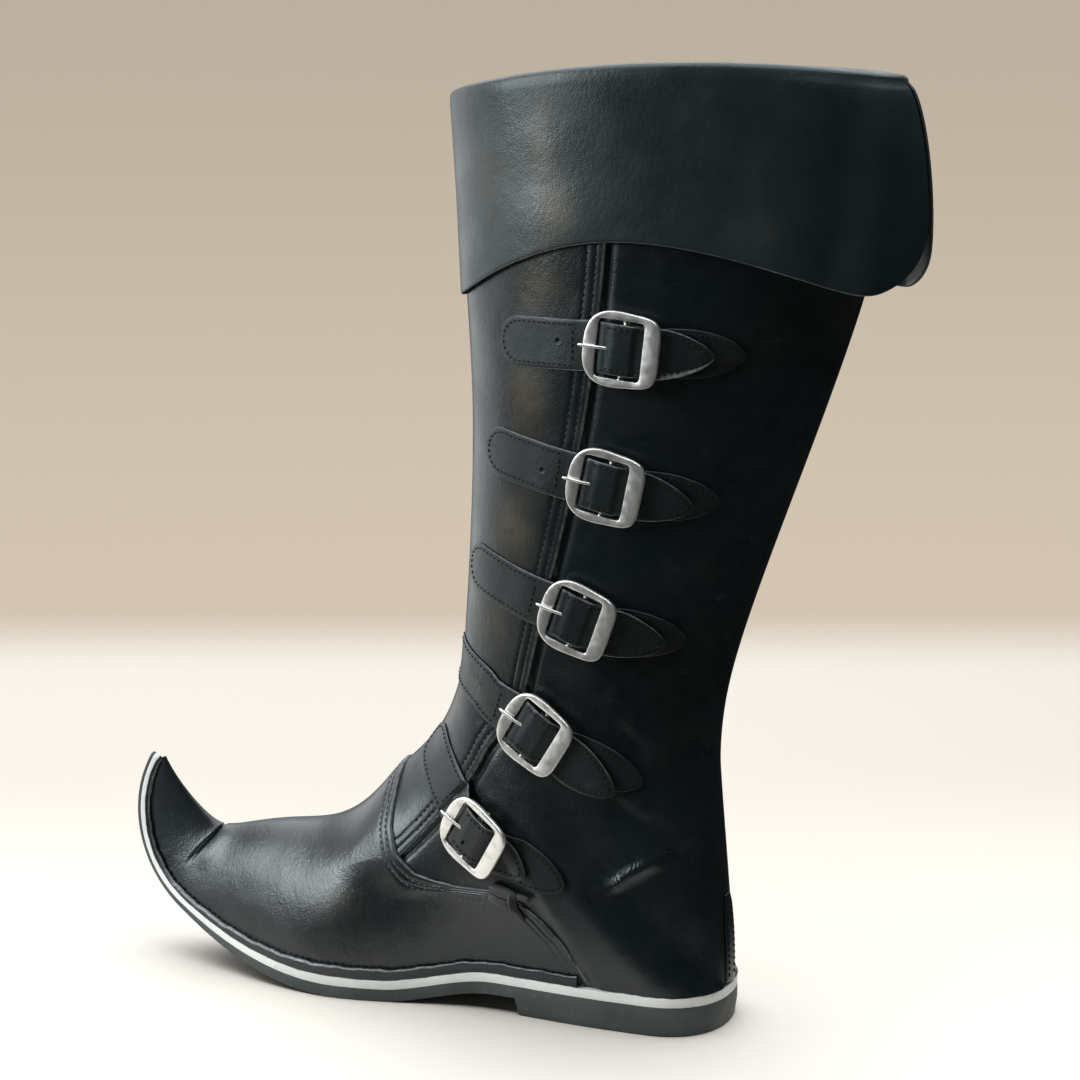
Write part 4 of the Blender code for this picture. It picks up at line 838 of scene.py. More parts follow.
def cuff_strip(around):
    """Outer and inner points of the cuff across its width, from inside the shaft over the fold."""
    flare = float(eased(CUFF_ROWS, from_seat(around), "around", "flare"))
    rim = upper_surface(TOP_RING, around)
    out = unit(upper_normal(TOP_RING, around) * (1.0, 1.0, 0.0))
    up = np.array((0.0, 0.0, 1.0))
    middle = rim - out * WALL / 2.0 + up * FOLD_RISE
    near = WALL / 2.0 + CUFF_GAP
    far = near + CUFF_WALL
    outside = []
    inside = []
    for drop in (CUFF_INSIDE, CUFF_INSIDE / 2.0):
        face = upper_surface(ring_at_height(around, rim[2] - drop), around) - out * WALL
        inside.append(face - out * CUFF_INSIDE_GAP)
        outside.append(face - out * (CUFF_INSIDE_GAP + CUFF_WALL))
    for turn in np.linspace(math.pi, 0.0, CUFF_FOLD_ROWS + 1):
        spread = out * math.cos(turn) + up * math.sin(turn)
        inside.append(middle + spread * near)
        outside.append(middle + spread * far)
    low_ring = float(ring_at_height(around, cuff_low(around)))
    for part in np.linspace(0.0, 1.0, CUFF_FALL_ROWS + 1)[1:]:
        ring = TOP_RING + (low_ring - TOP_RING) * part
        face = upper_surface(ring, around)
        drop = rim[2] - face[2]
        under = flap_raise(ring, np.clip(around + CUFF_DRAPE, 0.0, 1.0)).mean()
        lift = CUFF_LIFT + flare * (drop / CUFF_DROP) ** CUFF_CURVE + float(under)
        inside.append(face + out * lift)
        outside.append(face + out * (lift + CUFF_WALL))
    return outside, inside


class Leather:
    """The upper's outer face as a fine mesh that finds the ring and share under a point."""

    RINGS = 301
    SIDE_Y = -300.0

    def __init__(self):
        self.rings = np.linspace(0.0, TOP_RING, self.RINGS)
        self.arounds = np.linspace(0.0, 1.0, SAMPLES)
        grid_rings, grid_arounds = np.meshgrid(self.rings, self.arounds, indexing="ij")
        self.points = upper_surface(grid_rings, grid_arounds)
        width = len(self.arounds)
        corners = [i * width + j for i in range(len(self.rings) - 1) for j in range(width - 1)]
        faces = [(a, a + 1, a + width + 1, a + width) for a in corners]
        self.tree = BVHTree.FromPolygons(self.points.reshape(-1, 3).tolist(), faces)

    def locate(self, points):
        """Rings and shares of the points of the leather nearest to points."""
        points = np.asarray(points, float)
        found = [self.tree.find_nearest(point) for point in points.reshape(-1, 3)]
        i, j = np.divmod(np.array([row[2] for row in found]), len(self.arounds) - 1)
        corner = self.points[i, j]
        along = self.points[i + 1, j] - corner
        across = self.points[i, j + 1] - corner
        away = np.array([row[0] for row in found]) - corner
        square = (along * along).sum(1), (along * across).sum(1), (across * across).sum(1)
        sums = (away * along).sum(1), (away * across).sum(1)
        size = square[0] * square[2] - square[1] ** 2
        ring_share = np.clip((square[2] * sums[0] - square[1] * sums[1]) / size, 0.0, 1.0)
        around_share = np.clip((square[0] * sums[1] - square[1] * sums[0]) / size, 0.0, 1.0)
        ring = self.rings[i] + ring_share * (self.rings[1] - self.rings[0])
        around = self.arounds[j] + around_share * (self.arounds[1] - self.arounds[0])
        return ring.reshape(points.shape[:-1]), around.reshape(points.shape[:-1])

    def seen_from_side(self, x, z):
        """Ring and share of the leather's outer side at a place in the side view."""
        spot = self.tree.ray_cast((x, self.SIDE_Y, z), (0.0, 1.0, 0.0))[0]
        return self.locate(spot)


def turned(direction, axis, degrees):
    """Direction turned about an axis square to it."""
    angle = math.radians(degrees)
    return direction * math.cos(angle) + np.cross(axis, direction) * math.sin(angle)


class Line:
    """A line on the leather through a buckle, turned on both sides of it, with flat axes at it."""

    STEP = 2.0
    SPARE = 4.0

    def __init__(self, leather, closure, back_turn):
        self.leather = leather
        ring, around = leather.seen_from_side(closure.x, closure.z)
        self.middle = upper_surface(ring, around)
        outward = upper_normal(ring, around)
        level = unit(np.cross(outward, (0.0, 0.0, 1.0)))
        level = -level if level[0] < 0.0 else level
        down = np.cross(outward, level)
        down = -down if down[2] > 0.0 else down
        tilt = math.radians(closure.tilt)
        self.along = level * math.cos(tilt) + down * math.sin(tilt)
        self.normal = turned(outward, self.along, closure.roll)
        self.across = np.cross(self.normal, self.along)
        probes = [leather.locate(self.middle + self.along * a + self.across * c)
                  for a in (-FLAT_REACH, 0.0, FLAT_REACH) for c in (-STRAP_HALF, STRAP_HALF)]
        heights = [(upper_surface(*probe) - self.middle) @ self.normal for probe in probes]
        self.rise = max(0.0, *heights)
        ahead = self.walk(outward, -self.along, closure.front + self.SPARE, -closure.front_turn)
        back = max(closure.tail, closure.tab) + self.SPARE
        behind = self.walk(outward, self.along, back, back_turn)
        steps = ahead[::-1] + [(self.middle, outward)] + behind
        self.points = np.array([point for point, _ in steps])
        self.normals = np.array([normal for _, normal in steps])
        self.sides = unit(np.cross(self.normals, np.gradient(self.points, axis=0)))
        self.places = self.STEP * (np.arange(len(self.points)) - len(ahead))

    def walk(self, normal, heading, length, turn):
        """Points and normals along the leather from the buckle, straight after one turn."""
        steps = []
        point = self.middle
        for step in range(int(math.ceil(length / self.STEP))):
            if step == int(TURN_REACH / self.STEP):
                heading = turned(heading, normal, turn)
            ring, around = self.leather.locate(point + heading * self.STEP)
            point = upper_surface(ring, around)
            normal = upper_normal(ring, around)
            heading = unit(heading - normal * (heading @ normal))
            steps.append((point, normal))
        return steps

    def read(self, values, along):
        """One of the line's columns of vectors at a distance behind the middle bar."""
        return interpolated(along, self.places, values)

    def place(self, along, across, lift, seat):
        """Point off the leather by its distances along and across the line; flat near the buckle."""
        along, across, lift, seat = np.broadcast_arrays(along, across, lift, seat)
        draped = self.draped(along, across, lift, seat)
        flat = self.flat(along, across, lift)
        blend = smooth((np.abs(along) - FLAT_REACH) / (DRAPE_REACH - FLAT_REACH))[..., None]
        return flat + (draped - flat) * blend

    def draped(self, along, across, lift, seat=None):
        """Points off the bent leather, at least a small distance off its outer layers."""
        spots = self.read(self.points, along) + self.read(self.sides, along) * across[..., None]
        rings, arounds = self.leather.locate(spots)
        if seat is not None:
            lift = np.maximum(lift, panel_raise(rings, arounds) + seat)
        return upper_offset(rings, arounds, lift)

    def flat(self, along, across, lift):
        """Point in the buckle's own flat axes."""
        along, across, lift = (np.asarray(v, float)[..., None] for v in (along, across, lift))
        level = self.normal * (lift + self.rise)
        return self.middle + self.along * along + self.across * across + level


def end_width(place, end, reach, power):
    """Share of the full width near a rounded end."""
    short = np.clip((reach - np.abs(end - place)) / reach, 0.0, 1.0)
    return np.maximum(1.0 - short ** power, 0.0) ** (1.0 / power)


def sweep_loops(path, sideways, radius, sides):
    """Round loops along a path whose bends lie square to one direction."""
    up = unit(np.cross(unit(np.gradient(path, axis=0)), sideways))
    return np.array([[point + radius * (sideways * math.cos(turn) + rise * math.sin(turn))
                      for turn in full_turn(sides)] for point, rise in zip(path, up)])


# Materials


class Nodes:
    """A tree of shader nodes that is built by calls."""

    def __init__(self, tree, coords):
        self.tree = tree
        self.coords = self.node("ShaderNodeTexCoord").outputs[coords]

    def put(self, socket, value):
        """Link a socket or set its own value."""
        if isinstance(value, bpy.types.NodeSocket):
            self.tree.links.new(value, socket)
        else:
            socket.default_value = value

    def node(self, kind, inputs=None, **settings):
        """New node with its settings and inputs."""
        made = self.tree.nodes.new(kind)
        for key, value in settings.items():
            setattr(made, key, value)
        for key, value in (inputs or {}).items():
            self.put(made.inputs[key], value)
        return made

    def axes(self):
        """The place's three coordinates."""
        return self.node("ShaderNodeSeparateXYZ", {0: self.coords}).outputs

    def ray(self, kind):
        """Whether a ray is of a kind."""
        return self.node("ShaderNodeLightPath").outputs[kind]

    def ramp(self, value, low, high, to_low=0.0, to_high=1.0):
        """Value eased from one range to another."""
        return self.node("ShaderNodeMapRange", {"Value": value, "From Min": low, "From Max": high,
                                                "To Min": to_low, "To Max": to_high},
                         interpolation_type="SMOOTHSTEP").outputs[0]

    def maths(self, operation, a, b=0.0):
        """Product, difference or other operation."""
        return self.node("ShaderNodeMath", {0: a, 1: b}, operation=operation).outputs[0]

    def mix(self, share, a, b):
        """Colour between two colours."""
        a, b = (end if isinstance(end, bpy.types.NodeSocket) else (*end, 1.0) for end in (a, b))
        return self.node("ShaderNodeMix", {0: share, 6: a, 7: b}, data_type="RGBA").outputs[2]


class Finish(Nodes):
    """A material, read in the piece's own metres."""

    def __init__(self, name):
        self.material = bpy.data.materials.new(name)
        self.material.use_nodes = True
        super().__init__(self.material.node_tree, "Object")
        self.shader = self.tree.nodes["Principled BSDF"]

    def shade(self, **values):
        """Inputs of the shader, by name with spaces as underscores."""
        for key, value in values.items():
            self.put(self.shader.inputs[key.replace("_", " ")], value)

    def noise(self, scale, detail=3.0, stretch=None, swirl=0.0):
        """Soft noise, with so many waves to the metre."""
        vector = self.coords
        if stretch:
            vector = self.node("ShaderNodeVectorMath", {0: vector, 1: stretch},
                               operation="MULTIPLY").outputs[0]
        return self.node("ShaderNodeTexNoise", {"Vector": vector, "Scale": scale, "Detail": detail,
                                                "Distortion": swirl}).outputs[0]

    def spots(self, low, high, scale, detail=3.0, to=(0.0, 1.0), **shape):
        """Noise eased from one range to another."""
        return self.ramp(self.noise(scale, detail, **shape), low, high, *to)

    def cells(self, scale, smoothness=0.6):
        """Rounded cells, as in leather grain."""
        return self.node("ShaderNodeTexVoronoi", {"Vector": self.coords, "Scale": scale,
                                                  "Smoothness": smoothness},
                         feature="SMOOTH_F1").outputs["Distance"]

    def tint(self, colour, other, share, strength):
        """Colour with a part of another over it, by the product of two shares."""
        return self.mix(self.maths("MULTIPLY", share, strength), colour, other)

    def mark(self, name):
        """Value painted on the points of the mesh."""
        return self.node("ShaderNodeAttribute", attribute_name=name).outputs["Fac"]

    def bump(self, height, depth, under=None):
        """Normal with a relief of a depth in metres."""
        made = self.node("ShaderNodeBump", {"Height": height, "Distance": depth, "Strength": 1.0})
        if under:
            self.put(made.inputs["Normal"], under)
        return made.outputs[0]


def leather(name, dark, cool, warm, rough, pale, shine, wax=0.0):
    """Leather with grain, brown and green patches, pale worn edges, a painted highlight on the welt's
    top, and wax on the foot.
    """
    finish = Finish(name)
    colour = finish.mix(finish.spots(0.36, 0.62, 9.0, 2.0), dark, cool)
    colour = finish.tint(colour, warm, finish.spots(0.52, 0.74, 19.0, swirl=0.8), 0.07)
    rubbed = finish.spots(0.3, 0.65, 45.0, 4.0, to=(0.55, 1.0))
    colour = finish.tint(colour, warm, finish.mark("patina"), rubbed)
    colour = finish.tint(colour, pale, finish.spots(0.35, 0.75, 150.0, 4.0), 0.2)
    scuffs = finish.spots(0.63, 0.74, 60.0, 6.0, stretch=(1.0, 1.0, 2.4))
    colour = finish.tint(colour, pale, scuffs, 0.5)
    # Pale tint by the mesh's mark: wear on cut edges, and a painted highlight along the welt's top
    edge = finish.mix(finish.spots(0.3, 0.7, 420.0, 2.0), *WORN_EDGE_AND_HIGHLIGHT)
    worn = finish.spots(0.25, 0.6, 130.0, to=(0.5, 1.0))
    colour = finish.tint(colour, edge, finish.mark("wear_and_highlight"), worn)
    gloss = finish.spots(0.3, 0.7, 34.0, 4.0, to=(rough - 0.05, rough + 0.07))
    relief = finish.bump(finish.noise(30.0, 2.0), 0.0008)
    relief = finish.bump(finish.noise(430.0, 5.0, stretch=(1.0, 1.0, 0.7)), 0.00013, relief)
    relief = finish.bump(finish.cells(1300.0), 0.00006, relief)
    finish.shade(Base_Color=colour, Roughness=gloss, Normal=relief, Specular_Tint=SHEEN,
                 Specular_IOR_Level=shine)
    if wax:
        waxed = finish.ramp(finish.axes()[2], *FOOT_WAX, wax, 0.0)
        finish.shade(Coat_Weight=waxed, Coat_Roughness=rough, Coat_Normal=relief)
    return finish.material


def rubber(name):
    """Dark sole rubber, dusty and a little uneven."""
    finish = Finish(name)
    colour = finish.mix(finish.spots(0.35, 0.7, 26.0, 4.0), (0.026, 0.036, 0.034), (0.046, 0.058, 0.056))
    colour = finish.tint(colour, (0.11, 0.12, 0.115), finish.spots(0.58, 0.75, 300.0), 0.35)
    relief = finish.bump(finish.noise(900.0), 0.00012)
    relief = finish.bump(finish.noise(140.0, 2.0, stretch=(1.0, 1.0, 5.0)), 0.00012, relief)
    gloss = finish.spots(0.3, 0.7, 80.0, 2.0, to=(0.50, 0.66))
    finish.shade(Base_Color=colour, Roughness=gloss, Normal=relief)
    return finish.material


def white_layer(name):
    """Pale layer with a faint grain and grey handling marks."""
    finish = Finish(name)
    colour = finish.mix(finish.spots(0.35, 0.7, 30.0, 4.0), (0.60, 0.62, 0.60), (0.70, 0.71, 0.69))
    marks = finish.spots(0.60, 0.78, 110.0, 5.0, stretch=(1.0, 1.0, 3.0))
    colour = finish.tint(colour, (0.36, 0.36, 0.33), marks, 0.5)
    colour = finish.tint(colour, (0.25, 0.25, 0.24), finish.mark("wear_and_highlight"), 0.35)
    gloss = finish.spots(0.3, 0.7, 90.0, to=(0.48, 0.62))
    finish.shade(Base_Color=colour, Roughness=gloss, Normal=finish.bump(finish.noise(700.0), 0.00010))
    return finish.material


def nickel(name):
    """Matt nickel with fine brushing and a little tarnish."""
    finish = Finish(name)
    colour = finish.mix(finish.spots(0.48, 0.75, 170.0, 5.0), (0.86, 0.85, 0.82), (0.66, 0.65, 0.61))
    gloss = finish.spots(0.3, 0.7, 260.0, 4.0, to=(0.30, 0.43))
    relief = finish.bump(finish.noise(900.0, 2.0, stretch=(0.25, 1.0, 1.0)), 0.00004)
    relief = finish.bump(finish.noise(220.0), 0.00010, relief)
    finish.shade(Base_Color=colour, Metallic=0.87, Roughness=gloss, Normal=relief)
    return finish.material


def thread(name, colour):
    """Waxed sewing thread with a twist."""
    finish = Finish(name)
    shade = finish.mix(finish.spots(0.3, 0.7, 500.0, 2.0), colour, tuple(c * 1.8 for c in colour))
    relief = finish.bump(finish.noise(2600.0, 1.0, stretch=(1.0, 1.0, 0.4)), 0.00010)
    finish.shade(Base_Color=shade, Roughness=0.6, Normal=relief, Specular_IOR_Level=0.2)
    return finish.material


def hide(name, colour, deep, rough):
    """Bare hide for the lining, the insole and the thong."""
    finish = Finish(name)
    shade = finish.mix(finish.spots(0.35, 0.7, 45.0, 5.0), colour, deep)
    shade = finish.mix(finish.spots(0.55, 0.8, 600.0, 2.0), shade, tuple(1.5 * c for c in colour))
    relief = finish.bump(finish.noise(700.0, 4.0), 0.00018)
    relief = finish.bump(finish.noise(90.0, stretch=(1.0, 2.5, 1.0)), 0.0004, relief)
    finish.shade(Base_Color=shade, Roughness=rough, Normal=relief, Sheen_Weight=0.15)
    return finish.material


BLACK = leather("boot_leather", dark=(0.0040, 0.0050, 0.0058), cool=(0.0030, 0.0075, 0.0092),
                warm=(0.088, 0.069, 0.044), rough=0.31, pale=(0.013, 0.018, 0.020), shine=0.44, wax=0.42)
CUFF_BLACK = leather("cuff_leather", dark=(0.0066, 0.0122, 0.0134), cool=(0.0064, 0.0172, 0.0194),
                     warm=(0.110, 0.084, 0.054), rough=0.37, pale=(0.016, 0.022, 0.024), shine=0.5)
STRAP_BLACK = leather("strap_leather", dark=(0.0065, 0.0075, 0.0082), cool=(0.0060, 0.0105, 0.0110),
                      warm=(0.040, 0.033, 0.024), rough=0.40, pale=(0.018, 0.021, 0.022), shine=0.43)
RUBBER = rubber("sole_rubber")
WHITE = white_layer("white_layer")
NICKEL = nickel("nickel")
DARK_THREAD = thread("dark_thread", (0.004, 0.0045, 0.005))
# Painted highlight: a lighter copy of the dark thread, for the vamp's rows where the thread catches
# light
LIT_THREAD = thread("thread_painted_lit", (0.045, 0.058, 0.066))
LINING = hide("lining", (0.030, 0.022, 0.016), (0.016, 0.012, 0.010), 0.85)
BOARD = hide("insole_board", (0.20, 0.13, 0.07), (0.11, 0.07, 0.04), 0.75)
THONG = hide("thong", (0.020, 0.023, 0.018), (0.012, 0.014, 0.011), 0.65)


def add_piece(name, points, faces, materials, nodes=(), wear_and_highlight=None, patina=None, inside=None):
    """Closed mesh piece from points in millimetres, riding on the boot."""
    points = np.asarray(points, float)
    mesh = bpy.data.meshes.new(name)
    mesh.from_pydata(((points - MIDDLE) * MM).tolist(), [], faces)
    # Marks on the points: wear, which on the welt's top is a painted highlight, and brown patina
    for key, values in (("wear_and_highlight", wear_and_highlight), ("patina", patina)):
        values = np.zeros(len(points)) if values is None else np.asarray(values, float)
        mesh.attributes.new(key, "FLOAT", "POINT").data.foreach_set("value", values.astype(np.float32))
    for material in materials:
        mesh.materials.append(material)
    if inside is not None:
        mesh.polygons.foreach_set("material_index", np.asarray(inside, np.int32))
    work = bmesh.new()
    work.from_mesh(mesh)
    bmesh.ops.remove_doubles(work, verts=work.verts, dist=MERGE)
    bmesh.ops.dissolve_degenerate(work, edges=work.edges, dist=MERGE / 2.0)
    bmesh.ops.recalc_face_normals(work, faces=work.faces)
    work.to_mesh(mesh)
    work.free()
    mesh.shade_smooth()
    mesh.set_sharp_from_angle(angle=SHARP_ANGLE)
    piece = bpy.data.objects.new(name, mesh)
    bpy.context.scene.collection.objects.link(piece)
    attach(piece, "root")
    if nodes:
        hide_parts(*nodes)
    return piece


def loop_faces(first, second):
    """Faces between two closed loops of point numbers."""
    count = len(first)
    pairs = [(k, (k + 1) % count) for k in range(count)]
    return [[first[j], first[k], second[k], second[j]] for j, k in pairs]


def tube_faces(count, sides, start=0, capped=True):
    """Faces of a tube swept through loops."""
    loops = [range(start + i * sides, start + (i + 1) * sides) for i in range(count)]
    faces = [face for pair in zip(loops[:-1], loops[1:]) for face in loop_faces(*pair)]
    if capped:
        faces += [list(loops[0])[::-1], list(loops[-1])]
    return faces


def layer_faces(rows, columns):
    """Faces of two grids of points, the second turned over, one of each in turn."""
    size = rows * columns
    faces = []
    for r in range(rows - 1):
        for c in range(columns - 1):
            a = r * columns + c
            b = a + columns
            faces.append([a, a + 1, b + 1, b])
            faces.append([size + a, size + b, size + b + 1, size + a + 1])
    return faces


def sheet(outer, inner):
    """Points, faces and wear of a thick sheet between two grids, with a round rim."""
    rows, columns = outer.shape[:2]
    loop = [(0, j) for j in range(columns)] + [(i, columns - 1) for i in range(1, rows)]
    loop += [(rows - 1, j) for j in range(columns - 2, -1, -1)]
    loop += [(i, 0) for i in range(rows - 2, 0, -1)]
    i, j = np.array(loop).T
    middle = (outer + inner) / 2.0
    half = ((outer - inner) / 2.0)[i, j]
    out = middle[i, j] - middle[np.clip(i, 1, rows - 2), np.clip(j, 1, columns - 2)]
    thick = unit(half)
    out = out - (out * thick).sum(1, keepdims=True) * thick
    reach = np.linalg.norm(out, axis=1, keepdims=True)
    out = out / np.maximum(reach, TINY)
    radius = np.linalg.norm(half, axis=1, keepdims=True) * RIM_THICK_SHARE
    radius = np.minimum(radius, reach * RIM_REACH_SHARE)
    seat = middle[i, j] - out * radius
    outer = outer.copy()
    inner = inner.copy()
    outer[i, j] = seat + half
    inner[i, j] = seat - half
    rim = [seat + half * math.cos(turn) + out * radius * math.sin(turn)
           for turn in np.linspace(0.0, math.pi, RIM_TURNS + 2)[1:-1]]
    size = rows * columns
    points = np.concatenate([outer.reshape(-1, 3), inner.reshape(-1, 3)] + rim)
    faces = layer_faces(rows, columns)
    count = len(loop)
    edge = i * columns + j
    rim_loops = [2 * size + k * count + np.arange(count) for k in range(RIM_TURNS)]
    loops = [edge] + rim_loops + [size + edge]
    for first, second in zip(loops[:-1], loops[1:]):
        faces += loop_faces(first.tolist(), second.tolist())
    wear_and_highlight = np.zeros(len(points))
    wear_and_highlight[2 * size:2 * size + count] = 1.0
    return points, faces, wear_and_highlight


def ripple(place, waves):
    """Sum of waves, each with a length, a height and a start."""
    return sum(height * np.sin(2.0 * math.pi * place / length + start)
               for length, height, start in waves)


def bell(away, wide):
    """Soft hump that is one at no distance."""
    return np.exp(-(away / wide) ** 2)


def patina_at(points):
    """How brown the leather is at points."""
    total = 0.0
    for patch in PATCHES:
        total = total + patch.share * np.exp(-(((points - patch.place) / patch.reach) ** 2).sum(-1))
    return np.minimum(total, 1.0)


# Upper


def mm_per_share(ring):
    """Millimetres round the leather per share of the way, at the slit."""
    slit = SLIT(ring)
    across = upper_surface(ring, slit + SHARE_STEP) - upper_surface(ring, slit - SHARE_STEP)
    return np.linalg.norm(across, axis=-1) / (2.0 * SHARE_STEP)


RING_GRID = np.linspace(0.0, TOP_RING, SHARE_RINGS)
SHARE_MM = mm_per_share(RING_GRID)


def upper_columns():
    """Zone and place of each column: shares in plain zones, millimetres beside the slit."""
    columns = [("back", share) for share in np.linspace(0.0, 1.0, BACK_COUNT)[:-1]]
    columns += [("behind", away) for away in SLIT_BEHIND]
    columns += [("ahead", away) for away in SLIT_AHEAD]
    columns += [("front", share) for share in np.linspace(0.0, 1.0, FRONT_COUNT)[1:]]
    columns += [("inner", share) for share in np.linspace(0.0, 1.0, INNER_COUNT)[1:]]
    return columns


def column_share(zone, place, ring):
    """Share of the way round for a column at a ring."""
    slit = SLIT(ring)
    per = np.interp(ring, RING_GRID, SHARE_MM)
    behind = np.minimum(SLIT_BEHIND[0], SLIT_ZONE * slit * per) / per
    ahead = np.minimum(SLIT_AHEAD[-1], SLIT_ZONE * (0.5 - slit) * per) / per
    if zone == "back":
        return (slit - behind) * place
    if zone == "behind":
        return slit - behind * place / SLIT_BEHIND[0]
    if zone == "ahead":
        return slit + ahead * place / SLIT_AHEAD[-1]
    if zone == "front":
        return slit + ahead + (0.5 - slit - ahead) * place
    return np.full_like(slit, 0.5 + 0.5 * place)


def rounded(away):
    """How far a cut edge of the leather falls off near its rim."""
    short = np.clip(EDGE_ROUND - away, 0.0, EDGE_ROUND)
    return EDGE_ROUND - np.sqrt(EDGE_ROUND ** 2 - short ** 2)


def groove(away, rows):
    """Depth pressed in along rows of stitches."""
    return sum(GROOVE * bell(away - row, GROOVE_WIDE) for row in rows)


def upper_column(zone, place):
    """Rings, shares, heights and wear of one column of the upper's outer grid."""
    edge = VAMP_START
    for _ in range(EDGE_ROUNDS):
        edge = (edge + float(vamp_edge(column_share(zone, place, edge)))) / 2.0
    share = column_share(zone, place, edge)
    along = upper_surface(edge + RING_STEP, share) - upper_surface(edge - RING_STEP, share)
    per = np.linalg.norm(along) / (2.0 * RING_STEP)
    reach = min(VAMP_AHEAD[0] / per, VAMP_ZONE * (edge - VAMP_FROM))
    ahead = edge - VAMP_AHEAD / VAMP_AHEAD[0] * reach
    behind = edge + VAMP_BEHIND / per
    rings = np.concatenate([TOE_RINGS, np.linspace(VAMP_FROM, ahead[0], VAMP_COUNT)[:-1], ahead, behind,
                            np.linspace(behind[-1], PANEL_TO, PANEL_COUNT)[1:-1], SHAFT_RINGS])
    shares = column_share(zone, place, rings)
    from_edge = (edge - rings) * per
    from_slit = (shares - SLIT(rings)) * np.interp(rings, RING_GRID, SHARE_MM)
    on_vamp = from_edge >= -ON_EDGE
    vamp_lift = vamp_raise(rings, shares) - rounded(from_edge) - groove(from_edge, VAMP_STITCH_ROWS)
    vamp_lift = np.maximum(vamp_lift, np.where(from_edge < EDGE_RIM, 0.0, -GROOVE))
    panel_lift = np.zeros_like(rings)
    panel_wear = np.zeros_like(rings)
    low = rings < FLAP_END_RING
    if zone in ("ahead", "front"):
        panel_lift = flap_raise(rings, np.maximum(shares, SLIT(rings) + ON_EDGE))
        panel_lift -= np.where(low, rounded(from_slit) + groove(from_slit, STITCH_ROWS), 0.0)
        panel_wear = np.where(low, SLIT_WEAR * bell(from_slit, SLIT_WEAR_WIDE), 0.0)
    if zone in ("back", "behind"):
        dip = SLIT_TROUGH * bell(from_slit + SLIT_TROUGH_AT, SLIT_TROUGH_WIDE)
        panel_lift = -dip * smooth((FLAP_NONE_RING - rings) / SLIT_TROUGH_FADE)
    lift = np.where(on_vamp, vamp_lift, panel_lift)
    wear_and_highlight = np.where(on_vamp, VAMP_WEAR * bell(from_edge, VAMP_WEAR_WIDE), panel_wear)
    return rings, shares, lift, wear_and_highlight


def crease_path(crease):
    """Close places along a crease, as two lists."""
    last = len(crease.path) - 1
    spots = np.linspace(0.0, last, CREASE_STEPS * len(crease.path))
    return interpolated(spots, range(last + 1), crease.path).T


def crease_lines(leather_map):
    """Each crease as rings and shares of the leather."""
    lines = []
    for crease in CREASES:
        places = [leather_map.seen_from_side(x, z) for x, z in zip(*crease_path(crease))]
        lines.append((crease, *np.array(places).T))
    lines += [(crease, *crease_path(crease)) for crease in TOE_CREASES]
    lines += [(crease, rings, 1.0 - shares) for crease, rings, shares in lines if crease.both_sides]
    return lines


def crease_lift(points, leather_map):
    """Height of the ridges and depth of the troughs at points of the upper."""
    total = np.zeros(points.shape[:-1])
    flat = points.reshape(-1, 3)
    for crease, rings, shares in crease_lines(leather_map):
        line = upper_surface(rings, shares)
        reach = CREASE_REACH * crease.wide
        near = np.nonzero(((flat > line.min(0) - reach) & (flat < line.max(0) + reach)).all(1))[0]
        gaps = np.linalg.norm(flat[near][:, None] - line[None], axis=2)
        ends = gaps.argmin(1) / (len(line) - 1.0)
        fade = smooth(ends / CREASE_FADE) * smooth((1.0 - ends) / CREASE_FADE)
        total.reshape(-1)[near] += crease.height * fade * bell(gaps.min(1), crease.wide)
    return total


def softened(grid, rings, shares):
    """Grid made smooth across the ring where the heel seat ends, away from the seat."""
    weight = smooth((rings - SOFT_FROM) / SOFT_FADE) * smooth((SOFT_TO - rings) / SOFT_FADE)
    weight = 0.5 * (weight * smooth(from_seat(shares) / SOFT_SEAT))[1:-1, :, None]
    grid = grid.copy()
    for _ in range(SOFT_ROUNDS):
        grid[1:-1] += ((grid[:-2] + grid[2:]) / 2.0 - grid[1:-1]) * weight
    return grid


def make_upper(leather_map):
    """Leather upper with stitched edges and creases over the hollow solid."""
    grid = [upper_column(zone, place) for zone, place in upper_columns()]
    rings, shares, lifts, wear_and_highlight = (np.array(part).T for part in zip(*grid))
    base = softened(upper_surface(rings, shares), rings, shares)
    tip = sole_point(TOE_STATION - TIP_SHORT, 0.0, seat_height(TOE_STATION)) - base[0].mean(0)
    base = base + tip * np.clip(1.0 - rings / TIP_RINGS, 0.0, 1.0)[..., None] ** 2
    lifts = lifts + crease_lift(base, leather_map)
    normal = unit(softened(upper_normal(rings, shares), rings, shares))
    outer = base + normal * lifts[..., None]
    inner = base - normal * (wall_thickness(rings) - np.minimum(lifts, 0.0))[..., None]
    foot = rings[:, 0] <= HEEL_RING
    for end in (0, -1):
        inner[foot, end] = level_with_seat(inner[foot, end], outer[foot, end], rings[foot, end])
    closed = rings[:, 0] >= HEEL_RING
    outer[closed, -1] = outer[closed, 0]
    inner[closed, -1] = inner[closed, 0]
    rows, columns = outer.shape[:2]
    size = rows * columns
    faces = layer_faces(rows, columns)
    inside = [0, 1] * (len(faces) // 2)
    edges = [(r * columns + c, (r + 1) * columns + c) for r in range(rows - 1)
             if not (closed[r] and closed[r + 1]) for c in (0, columns - 1)]
    edges += [(r * columns + c, r * columns + c + 1)
              for r in (0, rows - 1) for c in range(columns - 1)]
    faces += [[a, b, size + b, size + a] for a, b in edges]
    inside += [0] * len(edges)
    points = np.concatenate([outer.reshape(-1, 3), inner.reshape(-1, 3)])
    wear_and_highlight = np.concatenate([wear_and_highlight.reshape(-1), np.zeros(size)])
    add_piece("upper_skin", points, faces, [BLACK, LINING], ["upper"], wear_and_highlight,
              patina_at(points), inside)


